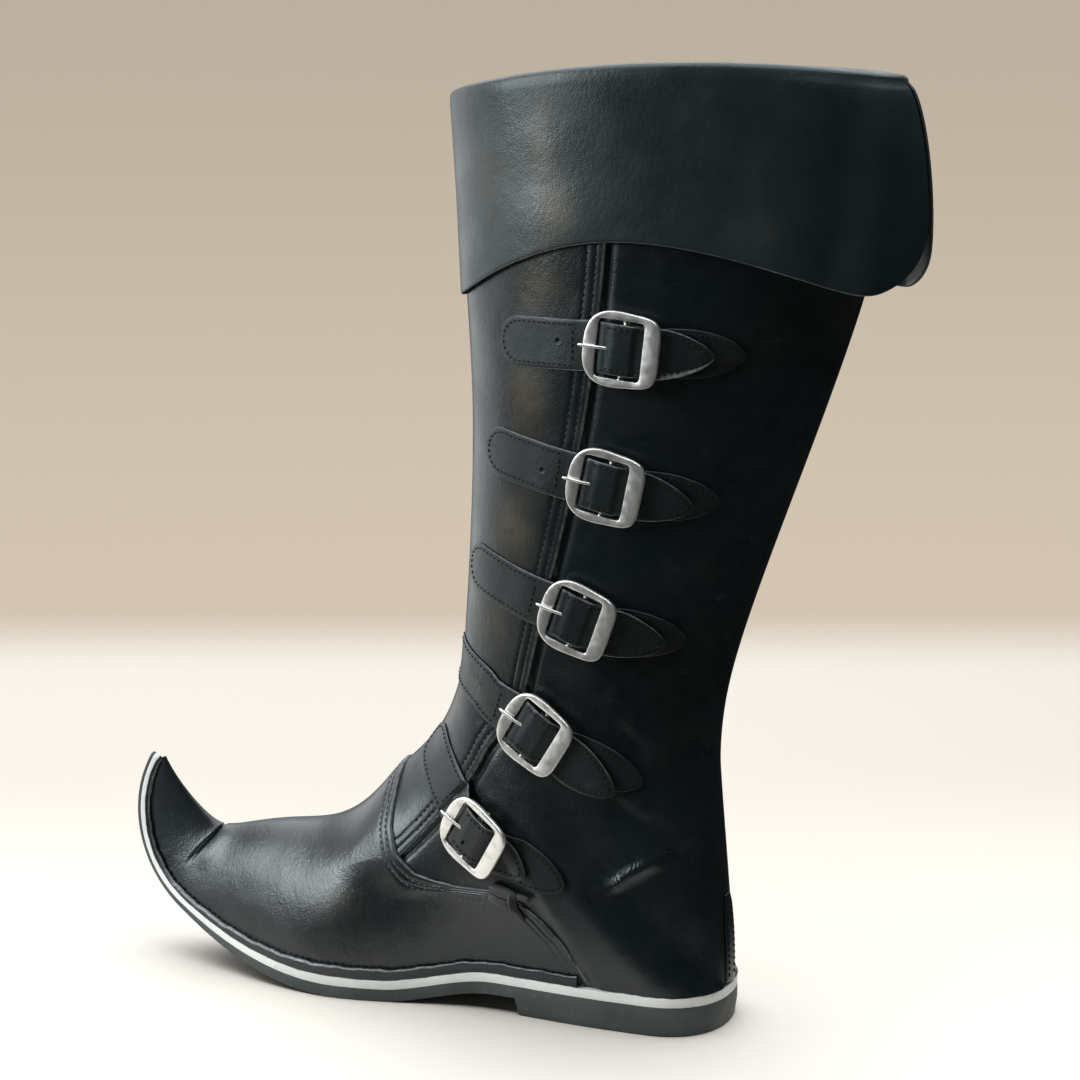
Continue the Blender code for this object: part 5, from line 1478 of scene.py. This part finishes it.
def make_cuff():
    """Folded collar with soft waves and a cut lower edge."""
    turn = np.linspace(0.0, 1.0, CUFF_COLUMNS)
    ease = 0.5 - 0.5 * np.cos(math.pi * turn)
    spread = CUFF_EVEN * turn + (1.0 - CUFF_EVEN) * ease
    arounds = CUFF_END + (1.0 - 2.0 * CUFF_END) * spread
    strips = np.array([cuff_strip(around) for around in arounds])
    outer, inner = strips.transpose(1, 2, 0, 3).copy()
    fall = slice(outer.shape[0] - CUFF_FALL_ROWS, None)
    dent = np.zeros(outer[fall].shape[:2])
    for row in CUFF_DENTS:
        across = (arounds[None, :] - row.around) * CUFF_GIRTH / row.wide
        dent += row.height * np.exp(-across ** 2 - ((outer[fall][..., 2] - row.level) / row.tall) ** 2)
    out = unit(outer[fall] - inner[fall])
    outer[fall] += out * np.maximum(dent, -CUFF_DENT_DEEP)[..., None]
    inner[fall] += out * np.maximum(dent, 0.0)[..., None]
    points, faces, wear_and_highlight = sheet(outer, inner)
    add_piece("cuff_skin", points, faces, [CUFF_BLACK], ["cuff"], CUFF_WEAR * wear_and_highlight,
              patina_at(points))


# Sole


def outline(grow, breast=None):
    """Stations and half widths from the back of the heel to the toe's tip or the heel's breast."""
    quarter = math.pi / 2.0
    turn = np.linspace(0.0, quarter, HEEL_STEPS)
    heel_x = HEEL_BACK_X - HEEL_ROUND + (HEEL_ROUND + grow) * np.cos(turn)
    heel = TREAD_X - heel_x
    if breast is not None:
        x = np.concatenate([heel_x, np.linspace(heel_x[-1], breast, HEEL_SIDE_STEPS)[1:]])
        stations = TREAD_X - x
        return stations, *half_widths(stations, grow)
    tip = TOE_STATION - TIP_ROUND_RUN * (1.0 - np.sin(np.linspace(0.0, quarter, TIP_STEPS)))
    stations = np.concatenate([heel, np.linspace(heel[-1], 0.0, WAIST_STEPS)[1:],
                               np.linspace(0.0, tip[0], FORE_STEPS)[1:], tip[1:]])
    past = np.clip((stations - TOE_STATION + TIP_ROUND_RUN) / TIP_ROUND_RUN, 0.0, 1.0)
    outer, inner = half_widths(stations, grow) * np.sqrt(1.0 - past ** 2)
    return stations, outer, inner


def inset_line(line, inset, closed):
    """Line of points in a plane moved in by a distance."""
    if closed:
        ahead = np.roll(line, -1, axis=0) - np.roll(line, 1, axis=0)
    else:
        ahead = np.gradient(line, axis=0)
    ahead = ahead / np.maximum(np.linalg.norm(ahead, axis=1, keepdims=True), TINY)
    return line + np.stack([-ahead[:, 1], ahead[:, 0]], -1) * inset


def there_and_back(places, outer, inner):
    """Closed line along the outer side and back along the inner one."""
    return np.concatenate([np.stack([places, -outer], -1), np.stack([places, inner], -1)[::-1]])


def stacked(loops):
    """Points and faces of a layer through flat loops that run there and back."""
    size = len(loops[0])
    faces = tube_faces(len(loops), size, capped=False)
    for first in (0, (len(loops) - 1) * size):
        last = first + size - 1
        faces += [[first + k, first + k + 1, last - k - 1, last - k] for k in range(size // 2 - 1)]
    return np.concatenate(loops), faces


def slab(stations, outer, inner, low, high, low_round, high_round):
    """Points and faces of a layer of the sole between two heights, with round edges."""
    line = there_and_back(stations, outer, inner)
    low, high = (np.concatenate([level, level[::-1]]) for level in (low, high))
    turns = np.linspace(0.0, math.pi / 2.0, CORNER_STEPS)
    rims = [(low_round * (1.0 - math.sin(t)), low + low_round * (1.0 - math.cos(t))) for t in turns]
    rims += [(high_round * (1.0 - math.cos(t)), high - high_round * (1.0 - math.sin(t))) for t in turns]
    return stacked([sole_point(*inset_line(line, inset, True).T, height) for inset, height in rims])


def make_sole():
    """Outsole, white layer and heel block."""
    stations, outer, inner = outline(0.0)
    top = outsole_thick(stations) + GAP
    points, faces = slab(stations, outer, inner, np.zeros_like(stations), top - OUTSOLE_SHORT,
                         OUTSOLE_ROUND, LAYER_ROUND)
    add_piece("outsole_rubber", points, faces, [RUBBER], ["outsole"])
    uneven = midsole_top(stations) + ripple(stations, WHITE_WAVES)
    points, faces = slab(stations, outer - WHITE_INSET, inner - WHITE_INSET, top, uneven, LAYER_ROUND,
                         WHITE_ROUND)
    wear_and_highlight = np.zeros((2 * CORNER_STEPS, 2 * len(stations)))
    wear_and_highlight[-WHITE_WORN_RIMS:] = WHITE_WEAR
    add_piece("white_midsole", points, faces, [WHITE], ["midsole"], wear_and_highlight.reshape(-1))
    loops = []
    for level, inset in HEEL_LEVELS:
        short = 1.0 - level / HEEL_LIFT
        breast = HEEL_BREAST_X + BREAST_SLANT * short + inset
        spots, left, right = outline(-HEEL_TAPER * short - inset, breast)
        ring = there_and_back(TREAD_X - spots, left, right)
        loops.append(np.column_stack([ring, np.full(len(ring), level)]))
    points, faces = stacked(loops)
    add_piece("heel_rubber", points, faces, [RUBBER], ["heel"])


def welt_section(station, sign):
    """Section of the welt, with a rolled top edge."""
    edge = float(half_widths(station)[0 if sign < 0.0 else 1]) - EDGE_EASE
    seat = edge - float(seat_inset(station)) + WELT_CLEAR * WELT_SEAT_SHARE
    low = float(seat_height(station)) - WELT_SUNK
    tall = float(welt_tall(station)) + WELT_SUNK + float(ripple(station, WELT_WAVES))
    leaning = float(wall_reach(station, sign < 0.0, tall)) + WELT_OFF_WALL
    leaning = min(max(leaning, seat), edge - LEAST_HALF)
    half = (edge - leaning) / 2.0
    bead = min(WELT_BEAD, half)
    middle = (leaning + edge) / 2.0
    corners = [(seat, low), ((seat + leaning) / 2.0, low + tall * 0.5)]
    for turn in np.linspace(math.pi, 0.0, WELT_TURNS):
        corners.append((middle + half * math.cos(turn), low + tall - bead + bead * math.sin(turn)))
    corners += [(edge - inset, low + tall * up) for inset, up in WELT_FACE]
    return [sole_point(station, sign * across, height) for across, height in corners]


def welt_tip():
    """Section of the welt at the tip of the toe."""
    low = float(seat_height(TOE_STATION)) - WELT_SUNK
    tall = float(welt_tall(TOE_STATION)) + WELT_TIP_OVER
    half = WELT_TIP / 2.0
    profile = [(-WELT_TIP, 0.0), (-WELT_TIP, 0.5)]
    for turn in np.linspace(math.pi, 0.0, WELT_TURNS):
        up = 1.0 - WELT_TIP_BEAD + WELT_TIP_BEAD * math.sin(turn)
        profile.append((-half + half * math.cos(turn), up))
    profile += [(-inset, up) for inset, up in WELT_TIP_FACE]
    return [sole_point(TOE_STATION + along, 0.0, low + tall * up) for along, up in profile]


def make_welt():
    """Leather strip on the white layer, from side seam over the toe to side seam."""
    fore = np.linspace(0.0, TOE_STATION - WELT_TIP_SHORT, WELT_FORE_STEPS)
    stations = np.concatenate([np.linspace(TREAD_X - WELT_BACK_X, 0.0, WELT_BACK_STEPS), fore[1:]])
    loops = [welt_section(station, -1.0) for station in stations] + [welt_tip()]
    loops = np.array(loops + [welt_section(station, 1.0) for station in stations[::-1]])
    # Painted highlight: the welt's rolled top tinted pale
    wear_and_highlight = np.zeros(loops.shape[:2])
    wear_and_highlight[:, WELT_HIGHLIT_ROWS] = WELT_TOP_HIGHLIGHT
    add_piece("welt_strip", loops.reshape(-1, 3), tube_faces(*loops.shape[:2]), [BLACK],
              ["welt"], wear_and_highlight.reshape(-1))


# Stitches


class Stitches:
    """Stitches of one thread, gathered into one mesh."""

    def __init__(self):
        self.points = []
        self.faces = []

    def row(self, path, normals, sewing):
        """Stitches at an even pitch along a path."""
        places = lengths_along(path)
        count = max(int(places[-1] / sewing.pitch), 1)
        for k in range(count):
            spot = (k + 0.5) * places[-1] / count
            half = sewing.length / 2.0
            start, end = (interpolated(spot + side, places, path) for side in (-half, half))
            self.one(start, end, interpolated(spot, places, normals), sewing.radius)

    def one(self, start, end, normal, radius):
        """One stitch between two holes."""
        middle = (start + end) / 2.0
        along = (end - start) / 2.0
        side = unit(np.cross(normal, along))
        up = unit(np.cross(along, side))
        base = len(self.points)
        for place, size, rise in STITCH_SHAPE:
            for turn in full_turn(STITCH_SIDES):
                spread = side * math.cos(turn) + up * math.sin(turn)
                self.points.append(middle + along * place + up * rise * radius + spread * radius * size)
        self.faces += tube_faces(len(STITCH_SHAPE), STITCH_SIDES, base)

    def finish(self, name, material, slot):
        """Make the gathered mesh."""
        add_piece(name, self.points, self.faces, [material])


def on_panels(rings, shares, lift):
    """Points and normals a little off the upper's outer layers."""
    raised = panel_raise(rings, shares) + lift
    return upper_offset(rings, shares, raised), upper_normal(rings, shares)


def beside(leather_map, rings, shares, away):
    """Rings and shares of a line on the leather moved sideways by a distance."""
    points = upper_surface(rings, shares)
    side = unit(np.cross(upper_normal(rings, shares), np.gradient(points, axis=0)))
    return leather_map.locate(points + side * away)


def make_seams(leather_map):
    """Stitches of the front panel, the vamp, the darts and the welt."""
    dark = Stitches()
    pale = Stitches()
    sunk = TOP_LIFT - GROOVE
    per = np.interp(PANEL_SEAM, RING_GRID, SHARE_MM)
    for away in STITCH_ROWS:
        dark.row(*on_panels(PANEL_SEAM, SLIT(PANEL_SEAM) + away / per, sunk), PANEL_SEWING)
    # The vamp's rows use the lighter copy of the thread, a painted highlight
    for away in VAMP_STITCH_ROWS:
        line = beside(leather_map, vamp_edge(VAMP_SEAM), VAMP_SEAM, away)
        pale.row(upper_offset(*line, vamp_raise(*line) + sunk), upper_normal(*line), VAMP_SEWING)
    for crease, rings, shares in crease_lines(leather_map):
        if crease is DART_SEAM:
            dark.row(*on_panels(rings, shares, TOP_LIFT), DART_SEWING)
    normals = sole_up(WELT_SEAM)
    for sign in (-1.0, 1.0):
        sections = np.array([welt_section(station, sign) for station in WELT_SEAM])
        path = sections[:, 4] * (1.0 - WELT_SEAM_SHARE) + sections[:, 5] * WELT_SEAM_SHARE
        dark.row(path + normals * STITCH_UP, normals, WELT_SEWING)
    dark.finish("stitches_dark", DARK_THREAD, "upper_leather")
    pale.finish("stitches_vamp", LIT_THREAD, "upper_leather")


# Straps and tabs


def strap_half(closure, along):
    """Half width of a strap."""
    front = end_width(along, -closure.front - END_SLACK, FRONT_END_ROUND, FRONT_POWER)
    return STRAP_HALF * np.minimum(front, end_width(along, closure.tail, TIP_ROUND, TIP_POWER))


def tab_half(closure, along):
    """Half width of a tab."""
    return TAB_HALF * end_width(along, closure.tab + END_SLACK, TAB_ROUND, TAB_POWER)


def round_end(count):
    """Share of the way into a rounded end, in steps that are close at its tip."""
    return 1.0 - np.cos(np.linspace(0.0, math.pi / 2.0, count))


def strap_face(line, along, across, extra):
    """Point of a strap's face."""
    lift = eased(STRAP_LIFT, along, "along", "lift")
    loose = smooth((np.asarray(along) - SEWN_FROM) / SEWN_FADE)
    extra = extra * (SEWN_SHARE + (1.0 - SEWN_SHARE) * loose)
    return line.place(along, across, lift + extra, SEWN_SEAT + extra)


def merge_steps(steps, extra, least):
    """Two lists of steps in order, without steps closer than a least distance to the extra ones."""
    keep = [step for step in steps if np.abs(extra - step).min() > least]
    return np.sort(np.concatenate([keep, extra]))


def make_strap(number, closure, line):
    """Strap with rounded edges and its hole."""
    front = -closure.front + FRONT_END_ROUND * round_end(FRONT_END_STEPS)
    tail = closure.tail - END_SLACK - TIP_ROUND * round_end(TAIL_END_STEPS)[::-1]
    bend_from, bend_to = STRAP_BEND
    rows = np.concatenate([front, np.linspace(front[-1], bend_from, FRONT_PLAIN_STEPS)[1:],
                           np.linspace(bend_from, bend_to, BEND_STEPS)[1:],
                           np.linspace(bend_to, tail[0], TAIL_PLAIN_STEPS)[1:], tail[1:]])
    shares = np.linspace(-1.0, 1.0, STRAP_COLUMNS)
    hole = HOLES.get(number)
    if hole:
        rows = merge_steps(rows, hole.along + HOLE_STEPS, HOLE_ROW_GAP)
        shares = merge_steps(shares, (hole.across + HOLE_STEPS) / STRAP_HALF, HOLE_COLUMN_GAP)
    along = np.repeat(rows[:, None], len(shares), axis=1)
    across = strap_half(closure, rows)[:, None] * shares
    top = np.full_like(along, STRAP_THICK)
    if hole:
        away = np.hypot(along - hole.along, across - hole.across)
        top -= HOLE_DEEP * (1.0 - smooth((away - HOLE_RADIUS) / HOLE_EDGE))
        top += HOLE_RIM * bell(away - HOLE_RIM_AT, HOLE_RIM_WIDE)
    face = strap_face(line, along, across, top)
    points, faces, wear_and_highlight = sheet(face, strap_face(line, along, across, 0.0))
    wear_and_highlight = STRAP_WEAR * wear_and_highlight
    if number == 1:
        worn = np.outer(rows > WORN_TIP_FROM, shares < WORN_TIP_SIDE).reshape(-1)
        wear_and_highlight[:len(worn)] = np.maximum(wear_and_highlight[:len(worn)], worn)
    add_piece(f"strap_{number}_leather", points, faces, [STRAP_BLACK],
              [f"strap_{number}"], wear_and_highlight)


def rim_path(half, closure, start, end):
    """Line inside a strap's edge from one side round its end and back."""
    along = end + (start - end) * (0.5 - 0.5 * np.cos(np.linspace(0.0, math.pi, SEAM_STEPS)))
    side = np.stack([along, half(closure, along)], -1)
    line = np.concatenate([side[::-1], (side * (1.0, -1.0))[1:]])
    return inset_line(line, -STITCH_INSET * np.sign(end - start), False)


def make_strap_seams(closure, line, tab_line, stitches):
    """Stitches round the front of a strap, across it, round its tip and round its tab's end."""
    cross = np.linspace(-CROSS_SEAM_HALF, CROSS_SEAM_HALF, CROSS_SEAM_STEPS)
    for path in (rim_path(strap_half, closure, FRONT_SEAM_TO, -closure.front),
                 np.stack([np.full_like(cross, FRONT_SEAM_TO), cross], -1),
                 rim_path(strap_half, closure, TIP_SEAM_FROM, closure.tail)):
        face = strap_face(line, *path.T, STRAP_THICK + TOP_LIFT)
        stitches.row(face, line.read(line.normals, path[:, 0]), STRAP_SEWING)
    path = rim_path(tab_half, closure, TAB_SEAM_FROM, closure.tab)
    face = tab_line.place(*path.T, TAB_TOP + TOP_LIFT, STRAP_SEAT)
    stitches.row(face, line.read(line.normals, path[:, 0]), STRAP_SEWING)


def make_tab(number, closure, line):
    """Tab folded round the middle bar, with a tapered end."""
    fold = np.array(TAB_FOLD)
    sewn = closure.tab - TAB_ROUND * round_end(TAB_END_STEPS)
    if sewn[-1] > TAB_FLAT_TO + 1.0:
        sewn = np.concatenate([sewn, np.linspace(sewn[-1], TAB_FLAT_TO, TAB_PLAIN_STEPS)[1:]])
    else:
        sewn = sewn[sewn > TAB_FLAT_TO]
    path = np.concatenate([np.stack([sewn, np.full_like(sewn, fold[0, 1])], -1), fold])
    steps = lengths_along(path)
    folded = np.linspace(steps[len(sewn)], steps[-1], TAB_FOLD_STEPS)
    fine = np.concatenate([steps[:len(sewn)], folded])
    path = interpolated(fine, steps, path)
    ahead = np.gradient(path, axis=0)
    left = unit(np.stack([-ahead[:, 1], ahead[:, 0]], -1)) * TAB_THICK / 2.0
    across = tab_half(closure, path[:, 0])[:, None] * np.linspace(-1.0, 1.0, TAB_COLUMNS)
    grids = []
    for face in (path + left, path - left):
        along, lift = face[:, 0, None], face[:, 1, None]
        grids.append(line.place(along, across, lift, np.minimum(lift, STRAP_SEAT)))
    points, faces, wear_and_highlight = sheet(*grids)
    add_piece(f"tab_{number}_leather", points, faces, [STRAP_BLACK],
              [f"tab_{number}"], TAB_WEAR * wear_and_highlight)


# Buckles


def rounded_loop(front, back, half, front_power, back_power, taper):
    """Loop of a buckle's outline, as round as its powers say, narrower behind by a taper."""
    points = []
    for turn in full_turn(FRAME_SIDES) + math.pi / FRAME_SIDES:
        behind = math.cos(turn) > 0.0
        reach, power = (back, back_power) if behind else (front, front_power)
        along = math.copysign(reach * abs(math.cos(turn)) ** (2.0 / power), math.cos(turn))
        across = math.copysign(abs(math.sin(turn)) ** (2.0 / power), math.sin(turn))
        points.append((along, across * (half - taper * (along + front) / (back + front))))
    return np.array(points)


def make_buckle(number, line):
    """Nickel frame with round edges, the middle bar and its lugs."""
    outer = rounded_loop(BUCKLE_FRONT, BUCKLE_BACK, BUCKLE_HALF, BUCKLE_FRONT_POWER,
                         BUCKLE_BACK_POWER, BUCKLE_TAPER)
    opening = rounded_loop(BUCKLE_OPEN_FRONT, BUCKLE_OPEN_BACK, BUCKLE_OPEN_HALF, OPEN_POWER,
                           OPEN_POWER, 0.0)
    inward = unit(opening - outer)
    top = BUCKLE_LOW + BUCKLE_THICK
    loops = []
    for turn in np.linspace(-math.pi / 2.0, math.pi / 2.0, FRAME_TURNS):
        edge = outer + inward * FRAME_EDGE * (1.0 - math.cos(turn))
        loops.append((edge, top - FRAME_EDGE_TALL + FRAME_EDGE_TALL * math.sin(turn)))
    loops.append(((outer + opening) / 2.0, top + FRAME_CROWN))
    for turn in np.linspace(math.pi / 2.0, -math.pi / 2.0, OPEN_TURNS):
        edge = opening - inward * OPEN_EDGE * (1.0 - math.cos(turn))
        tall = OPEN_EDGE_TALL if turn > 0.0 else OPEN_EDGE_DEEP
        loops.append((edge, top - OPEN_EDGE_UNDER + tall * math.sin(turn)))
    points = np.array([line.flat(loop[:, 0], loop[:, 1], level) for loop, level in loops])
    count, sides = points.shape[:2]
    faces = tube_faces(count, sides, capped=False)
    faces += loop_faces(range((count - 1) * sides, count * sides), range(sides))
    points = list(points.reshape(-1, 3))
    lugs = [[(side * across, level, radius) for across, level, radius in LUG] for side in (-1.0, 1.0)]
    for rod in [BAR] + lugs:
        start = len(points)
        for across, level, radius in rod:
            for turn in full_turn(ROD_SIDES):
                height = level + radius * math.sin(turn)
                points.append(line.flat(radius * math.cos(turn), across, height))
        faces += tube_faces(len(rod), ROD_SIDES, start)
    add_piece(f"buckle_{number}_frame", points, faces, [NICKEL], [f"buckle_{number}"])


def make_prong(number, line):
    """Pin hooked round the middle bar and lying on the front bar."""
    path = np.array(PRONG_PATH)
    steps = lengths_along(path)
    fine = np.linspace(0.0, steps[-1], PRONG_STEPS)
    spots = np.array([line.flat(along, 0.0, lift)
                      for along, lift in zip(*(Spline(steps, part)(fine) for part in path.T))])
    loops = sweep_loops(spots, line.across, PRONG_RADIUS, ROD_SIDES)
    ends = np.clip((steps[-1] - fine) / PRONG_TIP_RUN, PRONG_TIP_LEAST, 1.0) ** 0.5
    loops = spots[:, None] + (loops - spots[:, None]) * ends[:, None, None]
    add_piece(f"prong_{number}_pin", loops.reshape(-1, 3), tube_faces(*loops.shape[:2]), [NICKEL],
              [f"prong_{number}"])


# Knot and back strip


def make_knot(leather_map):
    """Thong wound twice and drawn tight, with two short ends."""
    line = Line(leather_map, KNOT_PLACE, KNOT_PLACE.tail_turn)
    share = np.linspace(LOBE_END, 1.0 - LOBE_END, LOBE_STEPS)[:, None]
    turn = full_turn(LOBE_SIDES)
    size = (1.0 - np.abs(2.0 * share - 1.0) ** LOBE_POWER) ** 0.5
    points = []
    faces = []
    for lobe in LOBES:
        start = np.array(lobe.start)
        reach = np.array(lobe.end) - start
        ahead = unit(reach)
        side = np.array((-ahead[1], ahead[0]))
        spots = start + reach * share[..., None] + side * (lobe.half * size * np.cos(turn))[..., None]
        lift = lobe.seat + np.where(np.sin(turn) > 0.0, lobe.height * size, LOBE_UNDER) * np.sin(turn)
        faces += tube_faces(LOBE_STEPS, LOBE_SIDES, len(points))
        points += list(line.draped(spots[..., 0], spots[..., 1], lift).reshape(-1, 3))
    add_piece("knot_thong", points, faces, [THONG], ["side_knot"])


def make_back_stay(stitches):
    """Strip over the foot of the back seam, and its stitches."""
    rings = np.linspace(HEEL_RING, STAY_RING, SAMPLES)
    shares = np.linspace(0.0, STAY_SHARE, SAMPLES)
    levels = np.linspace(STAY_ROWS[0].level, STAY_ROWS[-1].level, STAY_STEPS)
    halves = np.interp(levels, column(STAY_ROWS, "level"), column(STAY_ROWS, "half"))
    places = []
    for level, half in zip(levels, halves):
        ring = np.interp(HEEL_SEAT[2] + level, BACK_Z(rings), rings)
        across = half * np.linspace(-1.0, 1.0, STAY_ACROSS)
        spots = np.interp(np.abs(across), np.abs(upper_surface(ring, shares)[:, 1]), shares)
        places.append((np.full_like(spots, ring), np.where(across > 0.0, 1.0 - spots, spots)))
    places = np.array(places).transpose(1, 0, 2)
    outer, inner = (upper_offset(*places, np.array(lift)) for lift in (STAY_LIFT, 0.0))
    points, faces, _ = sheet(outer, inner)
    add_piece("back_stay_leather", points, faces, [BLACK], ["back_stay"])
    for side in STAY_SEAM_COLUMNS:
        normals = unit((outer - inner)[STAY_SEAM_ROWS, side])
        stitches.row(outer[STAY_SEAM_ROWS, side] + normals * STITCH_UP, normals, STAY_SEWING)


# Studio


def make_camera():
    """Camera at the photo's angle."""
    data = bpy.data.cameras.new("camera")
    data.lens = CAMERA_LENS
    data.sensor_width = CAMERA_SENSOR
    camera = bpy.data.objects.new("camera", data)
    camera.location = CAMERA_PLACE
    camera.rotation_euler = (math.pi / 2.0 - CAMERA_PITCH, 0.0, CAMERA_YAW)
    bpy.context.scene.collection.objects.link(camera)
    bpy.context.scene.camera = camera


def floor_finish():
    """Pale floor with painted shade towards the left and the back, that fades out at its edges and that
    reflections see only in part.
    """
    finish = Finish("floor")
    x, y, _ = finish.axes()
    colour = finish.mix(finish.spots(0.3, 0.7, 3.0, 2.0), *FLOOR_PALE)
    # Painted shade: the floor's colour darkened towards the left and the back
    dim = finish.maths("MAXIMUM", finish.ramp(x, *SHADE_TO_LEFT), finish.ramp(y, *SHADE_TO_BACK))
    colour = finish.mix(dim, colour, FLOOR_PAINTED_SHADE)
    reach = finish.maths("MAXIMUM", finish.maths("ABSOLUTE", x), finish.maths("ABSOLUTE", y))
    shown = finish.ramp(reach, FLOOR_HALF * FLOOR_WHOLE, FLOOR_HALF, 1.0, 0.0)
    ahead = finish.ramp(y, -FLOOR_SEEN, FLOOR_FADE - FLOOR_SEEN, 1.0, 0.0)
    behind = finish.ramp(y, FLOOR_SEEN, FLOOR_FADE + FLOOR_SEEN)
    right = finish.ramp(x, FLOOR_RIGHT, FLOOR_FADE + FLOOR_RIGHT)
    away = finish.maths("MAXIMUM", finish.maths("MAXIMUM", ahead, behind), right)
    hidden = finish.maths("MULTIPLY", finish.ray("Is Glossy Ray"), away)
    alpha = finish.maths("MULTIPLY", shown, finish.maths("SUBTRACT", 1.0, hidden))
    finish.shade(Base_Color=colour, Roughness=0.75, Specular_IOR_Level=0.2, Alpha=alpha)
    return finish.material


def make_floor():
    """Flat floor, turned with the camera."""
    corners = [(-1.0, -1.0), (1.0, -1.0), (1.0, 1.0), (-1.0, 1.0)]
    mesh = bpy.data.meshes.new("floor")
    mesh.from_pydata([(x * FLOOR_HALF, y * FLOOR_HALF, 0.0) for x, y in corners], [], [(0, 1, 2, 3)])
    mesh.materials.append(floor_finish())
    floor = bpy.data.objects.new("floor", mesh)
    floor.rotation_euler = (0.0, 0.0, CAMERA_YAW)
    bpy.context.scene.collection.objects.link(floor)
    return floor


def make_lamps(floor):
    """Soft boxes, of which the key is kept off the floor."""
    for lamp in LAMPS:
        data = bpy.data.lights.new(lamp.name, "AREA")
        data.shape = "RECTANGLE"
        data.size, data.size_y = lamp.size
        data.energy = lamp.radiance * math.pi * lamp.size[0] * lamp.size[1]
        data.color = lamp.colour
        light = bpy.data.objects.new(lamp.name, data)
        light.location = lamp.place
        x, y, z = np.array(lamp.aim) - np.array(lamp.place)
        quarter = math.pi / 2.0
        tilt = math.atan2(z, math.hypot(x, y))
        light.rotation_euler = (quarter + tilt, 0.0, math.atan2(y, x) - quarter)
        light.visible_camera = False
        bpy.context.scene.collection.objects.link(light)
        if not lamp.on_floor:
            lit = bpy.data.collections.new("off_floor")
            lit.objects.link(floor)
            lit.collection_objects[0].light_linking.link_state = "EXCLUDE"
            light.light_linking.receiver_collection = lit


def make_world():
    """Beige backdrop for the camera; for the boot bright to the left and behind, dim elsewhere."""
    world = bpy.data.worlds.new("studio")
    world.use_nodes = True
    world.node_tree.nodes.clear()
    nodes = Nodes(world.node_tree, "Generated")

    def shaded(value, low, high, first, second):
        colour = nodes.mix(nodes.ramp(value, low, high), first, second)
        return nodes.node("ShaderNodeBackground", {0: colour}).outputs[0]

    glows = []
    for glow in GLOWS:
        toward = nodes.node("ShaderNodeVectorMath", {0: nodes.coords, 1: glow.side},
                            operation="DOT_PRODUCT")
        glows.append(shaded(toward.outputs["Value"], glow.low, glow.high, glow.dim, glow.bright))
    lit = nodes.node("ShaderNodeAddShader", dict(enumerate(glows))).outputs[0]
    seen = shaded(nodes.axes()[2], *BACKDROP)
    choose = nodes.node("ShaderNodeMixShader", {0: nodes.ray("Is Camera Ray"), 1: lit, 2: seen})
    nodes.node("ShaderNodeOutputWorld", {0: choose.outputs[0]})
    bpy.context.scene.world = world
    bpy.context.scene.view_settings.view_transform = "Standard"


def main():
    """Dress the frame and set up the studio."""
    make_camera()
    make_lamps(make_floor())
    make_world()
    leather_map = Leather()
    make_upper(leather_map)
    make_cuff()
    make_sole()
    make_welt()
    make_seams(leather_map)
    sewing = Stitches()
    for number, closure in enumerate(CLOSURES, 1):
        line = Line(leather_map, closure, closure.tail_turn)
        tab_line = Line(leather_map, closure, closure.tab_turn)
        make_strap(number, closure, line)
        make_strap_seams(closure, line, tab_line, sewing)
        make_tab(number, closure, tab_line)
        make_buckle(number, line)
        make_prong(number, line)
    make_back_stay(sewing)
    sewing.finish("stitches_straps", DARK_THREAD, "strap_leather")
    make_knot(leather_map)
    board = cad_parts["insole"]
    board.data.materials.clear()
    board.data.materials.append(BOARD)


main()
